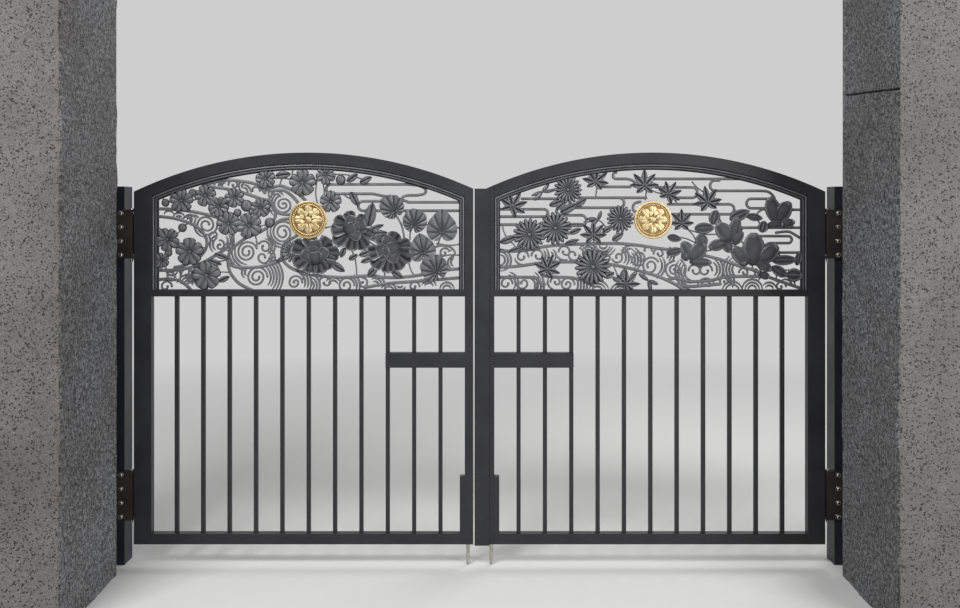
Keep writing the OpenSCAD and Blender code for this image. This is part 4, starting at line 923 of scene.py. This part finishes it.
def add_water(side, streams, threads, stalks, scrolls, ripple_sets):
    borders, curls, rings = Casting(), Casting(), Casting()
    for route in streams:
        stroke(borders, line(side, route), STREAM_W, WATER_CREST, squareness=3.4, gap=5 * MM)
    for route in threads:
        stroke(borders, line(side, route), THREAD_W, THREAD_CREST)
    hang(borders, side, "water_borders", "water_scrolls")
    each(scroll, curls, side, scrolls, width=THREAD_W, crest=THREAD_CREST)
    hang(curls, side, "scroll_castings", "water_scrolls")
    each(ripples, rings, side, ripple_sets, width=THREAD_W, crest=RIPPLE_CREST)
    stems = [ends for chain in stalks for ends in itertools.pairwise(chain)]
    for i, ends in enumerate(stems):
        route = bowed(side, ends, STALK_BOW * (-1) ** i)
        stroke(rings, route, STALK_W, STALK_CREST, squareness=2, gap=7 * MM)
    hang(rings, side, "ripples_and_stalks", "water_scrolls")


def add_mist(side, rows, turns, curves):
    bars = Casting()
    for route in mist(side, rows, turns, curves):
        stroke(bars, route, MIST_W, MIST_CREST, squareness=2.1, gap=5 * MM)
    hang(bars, side, "mist_castings", "mist_bars")


def add_left_flowers():
    flowers, hearts, pads = Casting(), Casting(), Casting()
    each(blossom, flowers, -1, LEFT_BLOSSOM_PLACES)
    each(bud, flowers, -1, LEFT_BUDS)
    each(leaf, flowers, -1, LEFT_BLOSSOM_LEAVES)
    hang(flowers, -1, "blossom_castings", "blossoms")
    each(peony, hearts, -1, LEFT_PEONIES)
    fan(hearts, -1, LEFT_FAN_PLACE)
    each(leaf, hearts, -1, LEFT_PEONY_LEAVES, height=10.5 * MM)
    hang(hearts, -1, "peony_castings", "peonies")
    each(lotus_leaf, pads, -1, LEFT_LOTUS_PLACES)
    each(heart_leaf, pads, -1, LEFT_HEART_PLACES)
    hang(pads, -1, "lotus_castings", "lotus_leaves")


def widened(entries, share):
    return [(foot, tip, share * width) for foot, tip, width in entries]


def add_right_flowers():
    flowers, maples, cups = Casting(), Casting(), Casting()
    each(chrysanthemum, flowers, 1, RIGHT_CHRYSANTHEMUM_PLACES)
    each(leaf, flowers, 1, RIGHT_CHRYSANTHEMUM_LEAVES)
    hang(flowers, 1, "chrysanthemum_castings", "chrysanthemums")
    each(maple_leaf, maples, 1, RIGHT_MAPLE_PLACES)
    each(leaf, maples, 1, RIGHT_BAMBOO_LEAVES, height=9 * MM, surface=blade_surface, across=7)
    for knot in RIGHT_BAMBOO_KNOTS:
        dome(maples, spot(1, *knot), 1.3 * UNIT, 9 * MM, around=12)
    hang(maples, 1, "maple_castings", "maple_leaves")
    each(leaf, cups, 1, widened(RIGHT_POINTED_LEAVES, 1.15), height=11 * MM,
         surface=ribbed_surface, tone=ribbed_painted_light, **FINE_RELIEF)
    for i, entry in enumerate(widened(RIGHT_MAGNOLIA_PETALS, 1.16)):
        leaf(cups, 1, entry, (11 + 0.8 * (i % 4)) * MM, oval_outline, cup_surface,
             base=FLOWER_BASE, tone=cup_painted_light, **PETAL_RELIEF)
    each(bud, cups, 1, RIGHT_MAGNOLIA_BUDS)
    hang(cups, 1, "magnolia_castings", "magnolias")


def smooth_step(x, low, high):
    t = np.clip((x - low) / (high - low), 0, 1)
    return t * t * (3 - 2 * t)


def petal_ring(s, angles, petals, phase, start, end):
    """Full petals with a crease down the middle, between two radii."""
    turn = (angles - phase) * petals / 2
    off_middle = np.abs(((turn / np.pi + 0.5) % 1) - 0.5) * 2
    along = np.clip((s - start) / (end - start), 0, 1)
    width = hump(along**1.3, 0.6)
    body = np.clip(1 - (off_middle / np.maximum(width * 0.92, 1e-3)) ** 2, 0, 1) ** 0.5
    crease = 1 - 0.35 * ridge(off_middle, 0.14)
    return body * crease * hump(0.12 + 0.8 * along, 0.5) * (width > 0.02)


def add_medallion(side, col, row=70):
    """A gilt disc: a flat rim, a beaded ring and a plain double rosette."""
    name = f"{HANDS[side]}_medallion"
    low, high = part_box(name)
    around, rings, beads, petals, ground = 240, 64, 48, 8, 0.42
    angles = full_turn(around)[None, :]
    s = steps_out(rings)[:, None]
    field = ground + 0.04 * s + 0 * angles
    rim = smooth_step(s, 0.86, 0.885) * (1 - 0.35 * smooth_step(s, 0.975, 1.0))
    bead_ring = np.maximum(1 - ((s - 0.80) / 0.035) ** 2, 0) ** 0.5
    beaded = bead_ring * np.abs(np.sin(beads / 2 * angles)) ** 0.5
    outer = petal_ring(s, angles, petals, 0.0, 0.26, 0.74)
    inner = petal_ring(s, angles, petals, np.pi / petals, 0.12, 0.50)
    boss = np.maximum(1 - (s / 0.16) ** 2, 0) ** 0.5
    rise = field
    for height, shape in ((0.5, rim), (0.24, beaded), (0.34, outer), (0.46, inner), (0.56, boss)):
        rise = np.maximum(rise, field + height * shape)
    centre = spot(side, col, row)
    outline = circle(centre, (high.x - low.x) / 2, around)
    disc = Casting()
    disc.disc(centre, outline, (high.y - low.y) * np.clip(rise, 0, 1), high.y,
              np.clip((rise - ground) * 2, 0, 1))
    disc.made(f"{name}_casting", gilt, f"{HANDS[side]}_leaf", "gilt", name)


# Moulding section: how far in from its outer edge and how far back from its front, in mm
MOULDING_SECTION = [
    (0, 7.5), (0.4, 5.2), (1.4, 4.6), (2.6, 2.0), (4.2, 0.5), (6.2, 0.0), (8.2, 0.5), (9.8, 2.0),
    (10.8, 4.8), (11.4, 6.8), (12.6, 6.8), (13.2, 5.0), (14.4, 3.2), (16.0, 2.1), (17.8, 1.9),
    (19.6, 2.4), (21.2, 3.8), (22.2, 6.2), (23.0, 7.4), (24.4, 7.8), (25.6, 8.2), (26.0, 9.2)
]
# At this depth in mm and deeper, the moulding gets its darkest painted shade
MOULDING_DEEPEST = 8


def moulding_path(inset):
    """Up the meeting side, over the arch and down the hinge side, that far in from the outer edge."""
    reach = MOULDING_R - inset
    x_in, x_out = PANEL_IN - MOULDING_W + inset, PANEL_OUT + MOULDING_W - inset
    top_in, top_out = (ARCH_Z + math.sqrt(reach**2 - (x - ARCH_X) ** 2) for x in (x_in, x_out))
    start = math.atan2(top_in - ARCH_Z, x_in - ARCH_X)
    end = math.atan2(top_out - ARCH_Z, x_out - ARCH_X)
    steps_up, steps_round = 3, 72
    path = [(x_in, SILL + (top_in - SILL) * k / steps_up) for k in range(steps_up)]
    for k in range(steps_round + 1):
        angle = start + (end - start) * k / steps_round
        path.append((ARCH_X + reach * math.cos(angle), ARCH_Z + reach * math.sin(angle)))
    down = reversed(range(steps_up))
    return path + [(x_out, SILL + (top_out - SILL) * k / steps_up) for k in down]


def add_moulding(side):
    """Two rounded beads with grooves, mitred round the panel; the same on the back. Grooves painted
    dark as painted shade, bead crests light as painted highlight.
    """
    name = f"{HANDS[side]}_panel_moulding"
    low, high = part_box(name)
    there = [(d, low.y + y * MM, y) for d, y in MOULDING_SECTION]
    again = [(d, high.y - y * MM, y) for d, y in MOULDING_SECTION[::-1]]
    rings = [[(side * x, y, z) for x, z in moulding_path(d * MM)] for d, y, _ in there + again]
    rings = np.array(rings).transpose(1, 0, 2)
    # Painted light from the depth: the front lighter as painted highlight, deeper in darker as painted
    # shade
    shades_and_masks = [1 - min(y, MOULDING_DEEPEST) / MOULDING_DEEPEST for _, _, y in there + again]
    bead = Casting()
    bead.tube(rings, np.tile(shades_and_masks, (len(rings), 1)))
    bead.made(f"{HANDS[side]}_moulding_beads", castings_paint, f"{HANDS[side]}_leaf", "gate_paint",
              name, smooth_under=40)


# Granite: split inner faces, sawn outer ones and chipped edges, with a slanting seam on the right
CELL = 13 * MM
SEAM_Z, SEAM_SLOPE, SEAM_BEND, SEAM_DEEP, SEAM_HALF = 2.057, 0.0726, 0.2, 16, 4 * MM
SEAM_STEPS = (-7, -4, -1, 2, 5)
SPLIT_WAVES = ((4.5, 4), (4, 11), (3, 27))  # height in mm, and how close the waves are
FLAKE_DEEP, SPLIT_DEEP, SPLIT_LEAST = 9, 6, 0.3
CHAMFER, CHIP_DEEP, CHIP_LIMIT = 2.5, 14, 7 * MM
TOP_ROUND, TOP_INSET = 3 * MM, 0.012


def pillar_loop(low, high):
    """Points round a pillar and the way out at each; at a corner both faces' ways add up."""
    corners = np.array([(low.x, low.y), (high.x, low.y), (high.x, high.y), (low.x, high.y)])
    runs = np.roll(corners, -1, axis=0) - corners
    lengths = np.hypot(runs[:, 0], runs[:, 1])
    facing = np.stack([runs[:, 1], -runs[:, 0]], axis=1) / lengths[:, None]
    loop = []
    for k in range(4):
        steps = int(lengths[k] / CELL)
        for i in range(steps):
            way = facing[k] if i else facing[k] + facing[k - 1]
            loop.append((*(corners[k] + runs[k] * (i / steps)), *way))
    return loop


def split_depth(side, here, back, level):
    """How far the split reveal lies behind the pillar's inner face."""
    _, y, z = here
    rough = sum(height * noise.noise(Vector(here) * close) for height, close in SPLIT_WAVES)
    flakes = abs(noise.noise(Vector((y * 5 + z * 2, z * 6, 3)))) * FLAKE_DEEP
    deep = SPLIT_DEEP + rough + flakes
    if side > 0:
        deep += 14 * smooth_step(z, 1.2, 2.5) * (0.35 + 0.65 * smooth_step(y, -0.2, back))
        deep += SEAM_DEEP * ridge(level - SEAM_Z + 1 * MM, SEAM_HALF)
        deep += 4 * smooth_step(level, SEAM_Z, SEAM_Z + 0.02)
    else:
        deep += 3 * smooth_step(1.6 - z, 0, 1.4)
    return max(deep, SPLIT_LEAST) * MM


def weathered(side, place, level, inner, back):
    """A point of the stone's face, set back from the CAD model's, and bent along the seam."""
    x, y, out_x, out_y = place
    split = abs(x - inner) < 1e-6
    z = level
    if split and side > 0:
        near = max(1 - abs(level - SEAM_Z) / SEAM_BEND, 0)
        z += SEAM_SLOPE * (y - back) * near * (3 - 2 * near) * near
    point = Vector((x, y, z))
    deep = (0.6 + 0.6 * noise.noise(point * 30)) * MM
    if split:
        deep = split_depth(side, (x, y, z), back, level)
    if out_x and out_y:
        chip = max(noise.noise(Vector((x * 3, y * 3, z * 9 + 4))) - 0.08, 0)
        deep += (CHAMFER + CHIP_DEEP * chip + 3 * max(noise.noise(point * 40), 0)) * MM
    return x - out_x * deep, y - out_y * min(deep, CHIP_LIMIT), z


def add_pillar(side):
    name = f"{HANDS[side]}_granite_pillar"
    low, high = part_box(name)
    inner = low.x if side > 0 else high.x
    loop = pillar_loop(low, high)
    levels = list(np.linspace(low.z, high.z, int((high.z - low.z) / CELL) + 1))
    if side > 0:
        levels = sorted(levels + [SEAM_Z + step * MM for step in SEAM_STEPS])
    rings = np.array([
        [weathered(side, place, level, inner, high.y) for place in loop] for level in levels])
    lowered = rings[-1] + (rings[-1].mean(axis=0) - rings[-1]) * TOP_INSET
    rings[-1, :, 2] = high.z - TOP_ROUND
    lowered[:, 2] = high.z
    rings = np.concatenate([rings, lowered[None]], axis=0)
    split = np.array([abs(place[0] - inner) < 1e-6 for place in loop], float)
    stone = Casting()
    stone.tube(rings, np.tile(split, (len(rings), 1)))
    stone.made(f"{HANDS[side]}_granite_stone", granite, "gateposts", "granite", name, smooth_under=60)


# Hardware on the brackets: bolt heads, each point of the section as reach, rise and painted shade value
# (low is darker)
BOLT_HEAD = [(1.32, 0.0, 0.5), (1.32, 0.16, 0.6), (1.28, 0.2, 0.6), (1.0, 0.2, 0.2), (1.0, 0.42, 0.7),
             (0.97, 0.62, 0.9), (0.88, 0.82, 1), (0.74, 0.95, 1), (0.58, 1.0, 1)]
BOLT_SOCKET = [(0.46, 0.97, 0.3), (0.44, 0.45, 0.0)]
BOLT_R, BOLT_RISE, BOLT_X = 9 * MM, 8 * MM, 1.5785
BRACKET_LEVELS, BOLT_OFFSETS = (1.460, 0.308), (-92, -31, 31, 92)


def button(casting, x, y, z):
    """A round-headed bolt with a washer and a hexagon socket, its axis along Y."""
    around = 36
    angles = full_turn(around)
    hexagon = math.cos(math.pi / 6) / np.cos((angles % (math.pi / 3)) - math.pi / 6)
    shapes = [np.ones(around)] * len(BOLT_HEAD) + [hexagon] * len(BOLT_SOCKET)
    rings = []
    for (share, rise, _), shape in zip(BOLT_HEAD + BOLT_SOCKET, shapes):
        reach = share * BOLT_R * shape
        height = np.full(around, y - rise * BOLT_RISE)
        rings.append(np.stack([x + reach * np.cos(angles), height, z + reach * np.sin(angles)], axis=1))
    # Low values paint the socket, the corner under the head and the washer darker, as painted shade
    shades_and_masks = np.array([[shade_and_mask] * around for _, _, shade_and_mask in BOLT_HEAD + BOLT_SOCKET])
    casting.tube(np.array(rings), shades_and_masks)


def add_bracket_bolts(side):
    low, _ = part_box(f"{HANDS[side]}_hinge_brackets")
    heads = Casting()
    for middle, offset in itertools.product(BRACKET_LEVELS, BOLT_OFFSETS):
        button(heads, side * BOLT_X, low.y, middle + offset * MM)
    heads.made(f"{HANDS[side]}_bracket_bolts", bolt_heads, "gateposts", "stainless", smooth_under=35)


# CAD nodes that show as they are, by slot, with the round of their edges in mm
KEPT_NODES = {
    "gate_paint": {"hinge_stile": 1.8, "meeting_stile": 1.8, "arch_rail": 1.8, "mid_rail": 1.8,
                   "bottom_rail": 1.8, "lock_rail": 1.8, "bars": 1.2, "bolt_case": 2,
                   "hinge_barrels": 0.6},
    "post_paint": {"steel_post": 3},
    "bracket_paint": {"hinge_brackets": 0.8},
    "stainless": {"hinge_pins": 0.5, "drop_bolt": 0.6},
}


def dress(name, material, edge):
    """Gives a CAD node its material and slot, welds its faces together and rounds its edges."""
    piece = nodes[name]
    piece.data.materials.clear()
    piece.data.materials.append(material)
    if "custom_normal" in piece.data.attributes:
        piece.data.attributes.remove(piece.data.attributes["custom_normal"])
    weld = piece.modifiers.new("weld", "WELD")
    weld.merge_threshold = 0.02 * MM
    bevel = piece.modifiers.new("rounded_edges", "BEVEL")
    bevel.width = edge
    bevel.segments = 3
    bevel.limit_method = "ANGLE"
    bevel.angle_limit = math.radians(40)
    bevel.harden_normals = True
    for polygon in piece.data.polygons:
        polygon.use_smooth = True


# Materials
class Nodes:
    """A node tree being built. Textures read the object's own coordinates, in metres."""

    def __init__(self, tree):
        self.tree = tree

    def feed(self, node, inputs):
        """Gives a node's inputs a link, a colour or a number each."""
        for name, value in inputs.items():
            socket = node.inputs[name]
            if isinstance(value, bpy.types.NodeSocket):
                self.tree.links.new(value, socket)
            elif isinstance(value, tuple):
                socket.default_value = (*value, 1)
            else:
                socket.default_value = value

    def add(self, kind, inputs, operation=None):
        node = self.tree.nodes.new(kind)
        if operation:
            node.operation = operation
        self.feed(node, inputs)
        return node.outputs

    def larger(self, first, second):
        return self.add("ShaderNodeMath", {0: first, 1: second}, "MAXIMUM")[0]

    def mixed(self, first, second, factor, blend="MIX"):
        node = self.tree.nodes.new("ShaderNodeMix")
        node.data_type = "RGBA"
        node.blend_type = blend
        self.feed(node, {0: factor, 6: first, 7: second})
        return node.outputs[2]

    def ranged(self, value, low, high, from_low=0.0, from_high=1.0):
        return self.add("ShaderNodeMapRange", {
            "Value": value, "From Min": from_low, "From Max": from_high,
            "To Min": low, "To Max": high})["Result"]

    def ramp(self, value, stops):
        """A smooth colour ramp: stops are (place, grey or colour)."""
        node = self.tree.nodes.new("ShaderNodeValToRGB")
        node.color_ramp.interpolation = "EASE"
        elements = node.color_ramp.elements
        while len(elements) < len(stops):
            elements.new(0.5)
        for element, (place, colour) in zip(elements, stops):
            element.position = place
            colour = colour if isinstance(colour, tuple) else (colour,) * 3
            element.color = (*colour, 1)
        self.tree.links.new(value, node.inputs["Fac"])
        return node.outputs["Color"]

    def tones(self, value, dark, light):
        return self.ramp(value, [(0.3, dark), (0.7, light)])

    def seen_share(self):
        """1 for the rays that show the background: the camera's, and those in gloss and glass."""
        path = self.tree.nodes.new("ShaderNodeLightPath").outputs
        glossy = self.larger(path["Is Camera Ray"], path["Is Glossy Ray"])
        return self.larger(glossy, path["Is Transmission Ray"])


class Material(Nodes):
    def __init__(self, name):
        self.made = bpy.data.materials.new(name)
        self.made.use_nodes = True
        super().__init__(self.made.node_tree)
        self.shader = self.tree.nodes["Principled BSDF"]
        self.places = self.tree.nodes.new("ShaderNodeTexCoord").outputs
        self.where = self.places["Object"]

    def noise(self, scale, detail=4.0, roughness=0.55, output="Fac"):
        return self.add("ShaderNodeTexNoise", {
            "Vector": self.where, "Scale": scale, "Detail": detail, "Roughness": roughness})[output]

    def cells(self, scale, output):
        return self.add("ShaderNodeTexVoronoi", {"Vector": self.where, "Scale": scale})[output]

    def warped(self, scale, reach):
        """From here on the textures wander by up to half the reach."""
        drift = self.noise(scale, 2.0, 0.5, "Color")
        inputs = {0: drift, 1: [reach] * 3, 2: self.where}
        self.where = self.add("ShaderNodeVectorMath", inputs, "MULTIPLY_ADD")[0]

    def shade_and_mask(self, back=None):
        """The painted shade value of a surface, or its mask. Where back is given, faces towards the
        back have that value.
        """
        node = self.tree.nodes.new("ShaderNodeAttribute")
        node.attribute_name = "shade_and_mask"
        if back is None:
            return node.outputs["Fac"]
        facing = self.add("ShaderNodeSeparateXYZ", {0: self.places["Normal"]})["Y"]
        return self.larger(node.outputs["Fac"], self.ranged(facing, 0, back, 0.7, 0.95))

    def finish(self, surface, *bumps):
        """Feeds the shader, with bump layers (height, strength, distance), the coarse first."""
        normal = {}
        for height, strength, distance in bumps:
            layer = {"Height": height, "Strength": strength, "Distance": distance, **normal}
            normal = {"Normal": self.add("ShaderNodeBump", layer)["Normal"]}
        self.feed(self.shader, {**surface, **normal})
        return self.made


def make_paint(name, deep, light, rough_low, rough_high):
    """Satin paint on steel: a slight mottle, a fine orange peel and a little dust."""
    paint = Material(name)
    mottle = paint.noise(7, 6)
    dust = paint.ranged(paint.noise(240, 3), 0, 0.28, 0.55, 0.8)
    dust_colour = tuple(2.1 * c for c in light)
    return paint.finish({
        "Base Color": paint.mixed(paint.tones(mottle, deep, light), dust_colour, dust),
        "Specular IOR Level": 0.32,
        "Roughness": paint.ranged(mottle, rough_low, rough_high, 0.3, 0.7),
    }, (paint.noise(45, 2), 0.12, 2 * MM), (paint.noise(900, 2), 0.16, 0.3 * MM))


def make_casting_paint():
    """Painted castings: crests painted lighter as painted highlight and smoother, hollows painted
    darker as painted shade and duller.
    """
    paint = Material("castings_paint")
    mottle = paint.noise(26, 5)
    # Painted light: the shade value mixes the dark hollow colour (painted shade) with the light top
    # colour (painted highlight); faces towards the back get a middle value
    crest = paint.ramp(paint.shade_and_mask(back=0.55), [(0.2, 0.0), (0.6, 0.42), (1.0, 1.0)])
    shaded_hollow_colour = paint.tones(mottle, (0.007, 0.0072, 0.008), (0.012, 0.0122, 0.014))
    top = paint.tones(mottle, (0.082, 0.083, 0.088), (0.115, 0.116, 0.122))
    return paint.finish({
        "Base Color": paint.mixed(shaded_hollow_colour, top, crest),
        "Specular IOR Level": paint.ranged(crest, 0.18, 0.6),
        "Roughness": paint.ranged(crest, 0.55, 0.34),
    }, (paint.noise(120, 3), 0.2, 0.8 * MM), (paint.noise(1100, 2), 0.14, 0.2 * MM))


def make_gilt():
    """Pale gold leaf: bright crests, browner hollows, a fine hammered grain."""
    gold = Material("gilt")
    crest = gold.ranged(gold.shade_and_mask(back=0.3), 0, 1, 0.02, 0.5)
    mottle = gold.noise(60, 4)
    top = gold.tones(mottle, (0.50, 0.39, 0.205), (0.60, 0.475, 0.265))
    return gold.finish({
        "Metallic": 1.0,
        "Base Color": gold.mixed((0.22, 0.135, 0.05), top, crest),
        "Roughness": gold.ranged(mottle, 0.36, 0.5, 0.3, 0.7),
    }, (gold.noise(260, 3), 0.25, 0.5 * MM))


def make_stainless(name, painted_hollow_shade=False):
    """Brushed stainless steel; the one for bolt heads has its hollows painted darker as painted shade.
    """
    steel = Material(name)
    tone = steel.noise(90, 4)
    colour = steel.tones(tone, (0.42, 0.39, 0.35), (0.6, 0.57, 0.52))
    # Painted shade: the hollows are mixed towards black by the shade value
    if painted_hollow_shade:
        colour = steel.mixed((0.01, 0.009, 0.008), colour, steel.shade_and_mask())
    return steel.finish({
        "Metallic": 1.0,
        "Base Color": colour,
        "Roughness": steel.ranged(tone, 0.26, 0.42, 0.3, 0.7),
    }, (steel.noise(1400, 2), 0.12, 0.15 * MM))


def make_granite():
    """Grey granite: mid-grey grains, black mica flecks, and a rougher split face, tinted bluer and
    darker as painted shade.
    """
    stone = Material("granite")
    split = stone.shade_and_mask()
    crystals = stone.ranged(stone.noise(75, 4, 0.7), 0.58, 3.05, 0.41, 0.6)
    broken = stone.mixed((1.0, 1.0, 1.0), crystals, split)
    stains = stone.tones(stone.noise(2.4, 6, 0.65), (0.70, 0.66, 0.62), (1.0, 1.0, 1.0))
    lumps = stone.noise(26, 8, 0.75)
    stone.warped(150, 0.005)
    grains = stone.cells(230, "Color")
    feldspar = stone.ramp(grains, [(0.1, (0.109, 0.106, 0.104)), (0.5, (0.140, 0.137, 0.134)),
                                   (0.9, (0.188, 0.184, 0.179))])
    mica = stone.ramp(stone.cells(185, "Color"), [(0.0, 1.0), (0.205, 1.0), (0.23, 0.0)])
    pepper = stone.ramp(stone.cells(330, "Color"), [(0.0, 0.75), (0.26, 0.75), (0.30, 0.0)])
    colour = stone.mixed(feldspar, (0.06, 0.06, 0.063), pepper)
    colour = stone.mixed(colour, (0.016, 0.016, 0.018), mica)
    # The split faces' bluer, darker tint is painted shade
    for layer, share in ((broken, 1.0), ((0.89, 0.93, 1.0), split), (stains, 1.0)):
        colour = stone.mixed(colour, layer, share, "MULTIPLY")
    return stone.finish({
        "Base Color": colour,
        "Roughness": stone.ranged(grains, 0.62, 0.9),
    }, (lumps, stone.ranged(split, 0.12, 1.0), 40 * MM),
        (stone.cells(150, "Distance"), stone.ranged(split, 0.3, 0.7), 3 * MM))


# Camera at the photograph's place, level, with the picture shifted down
def add_object(name, data, place=(0, 0, 0), turn=(0, 0, 0)):
    piece = bpy.data.objects.new(name, data)
    piece.location = place
    piece.rotation_euler = turn
    bpy.context.scene.collection.objects.link(piece)
    return piece


def add_camera():
    data = bpy.data.cameras.new("camera")
    data.sensor_width = 36
    data.lens = 37.5
    data.shift_y = -0.097
    data.clip_end = 60
    level = (math.radians(90), 0, 0)
    bpy.context.scene.camera = add_object("camera", data, (0.002, -4.10, 1.562), level)


def add_area_light(name, place, aim, size, power):
    data = bpy.data.lights.new(name, "AREA")
    data.shape = "RECTANGLE"
    data.size, data.size_y = size
    data.energy = power
    way = Vector(aim) - Vector(place)
    add_object(name, data, place, way.to_track_quat("-Z", "Y").to_euler())


# Studio: the world's light, and the grey that the camera and gloss see far away
WORLD_LIGHT, BACKDROP = 0.32, 0.62
FLOOR_COLOUR = (0.62, 0.62, 0.615)
FLOOR_HALF, FADE_NEAR, FADE_FAR = 30, 2.6, 7.0
WHITE = (1, 1, 1)


def add_world():
    """An even studio: what the camera and gloss see is the pale backdrop, and the light is softer."""
    world = bpy.data.worlds.new("studio")
    world.use_nodes = True
    sky = Nodes(world.node_tree)
    strength = sky.ranged(sky.seen_share(), WORLD_LIGHT, BACKDROP)
    sky.feed(sky.tree.nodes["Background"], {"Color": WHITE, "Strength": strength})
    bpy.context.scene.world = world


def add_floor():
    """A pale floor that keeps the object's shadow and fades into the backdrop far away."""
    half = FLOOR_HALF
    mesh = bpy.data.meshes.new("floor")
    corners = [(-half, -half, 0), (half, -half, 0), (half, half, 0), (-half, half, 0)]
    mesh.from_pydata(corners, [], [(0, 1, 2, 3)])
    ground = Material("floor")
    ground.finish({"Base Color": FLOOR_COLOUR, "Roughness": 0.9})
    glow = ground.add("ShaderNodeEmission", {"Color": WHITE, "Strength": BACKDROP})["Emission"]
    away = ground.add("ShaderNodeVectorMath", {0: ground.where}, "LENGTH")["Value"]
    far = ground.ranged(away, 0, 1, FADE_NEAR, FADE_FAR)
    fading = ground.add("ShaderNodeMath", {0: far, 1: ground.seen_share()}, "MULTIPLY")[0]
    blend = {"Fac": fading, 1: ground.shader.outputs["BSDF"], 2: glow}
    shown = ground.add("ShaderNodeMixShader", blend)["Shader"]
    ground.feed(ground.tree.nodes["Material Output"], {"Surface": shown})
    mesh.materials.append(ground.made)
    add_object("floor", mesh)


bpy.context.scene.view_settings.view_transform = "Standard"
add_camera()
add_world()
add_area_light("key", (-2.4, -3.4, 5.4), (0, 0.3, 1.3), (2.2, 1.4), 300)
add_area_light("fill", (5.2, -6.0, 3.0), (0, 0.3, 1.3), (3.4, 3.4), 430)
add_area_light("rim", (2.8, 3.6, 4.6), (0, 0.3, 1.4), (3, 1.6), 130)
add_floor()

gate_paint = make_paint("gate_paint", (0.014, 0.0143, 0.016), (0.020, 0.0204, 0.0222), 0.38, 0.5)
bracket_paint = make_paint(
    "bracket_paint", (0.015, 0.0135, 0.0125), (0.023, 0.0205, 0.019), 0.4, 0.55)
post_paint = make_paint("post_paint", (0.008, 0.0094, 0.015), (0.012, 0.0142, 0.022), 0.36, 0.5)
castings_paint = make_casting_paint()
gilt = make_gilt()
stainless = make_stainless("stainless")
bolt_heads = make_stainless("bolt_heads", painted_hollow_shade=True)
granite = make_granite()
finishes = {"gate_paint": gate_paint, "post_paint": post_paint, "bracket_paint": bracket_paint,
            "stainless": stainless}

for side, hand in HANDS.items():
    for slot, parts in KEPT_NODES.items():
        for part, edge in parts.items():
            dress(f"{hand}_{part}", finishes[slot], edge * MM)
    add_moulding(side)
    add_bracket_bolts(side)
    add_pillar(side)
dress("right_astragal", gate_paint, 1.2 * MM)
add_water(-1, LEFT_STREAMS, LEFT_THREADS, LEFT_STALKS, LEFT_SCROLLS, LEFT_RIPPLES)
add_water(1, RIGHT_STREAMS, RIGHT_THREADS, RIGHT_STALKS, RIGHT_SCROLLS, RIGHT_RIPPLES)
add_mist(-1, LEFT_MIST_ROWS, LEFT_MIST_TURNS, LEFT_MIST_CURVES)
add_mist(1, RIGHT_MIST_ROWS, RIGHT_MIST_TURNS, RIGHT_MIST_CURVES)
add_left_flowers()
add_right_flowers()
add_medallion(-1, 149.5)
add_medallion(1, 152.5)
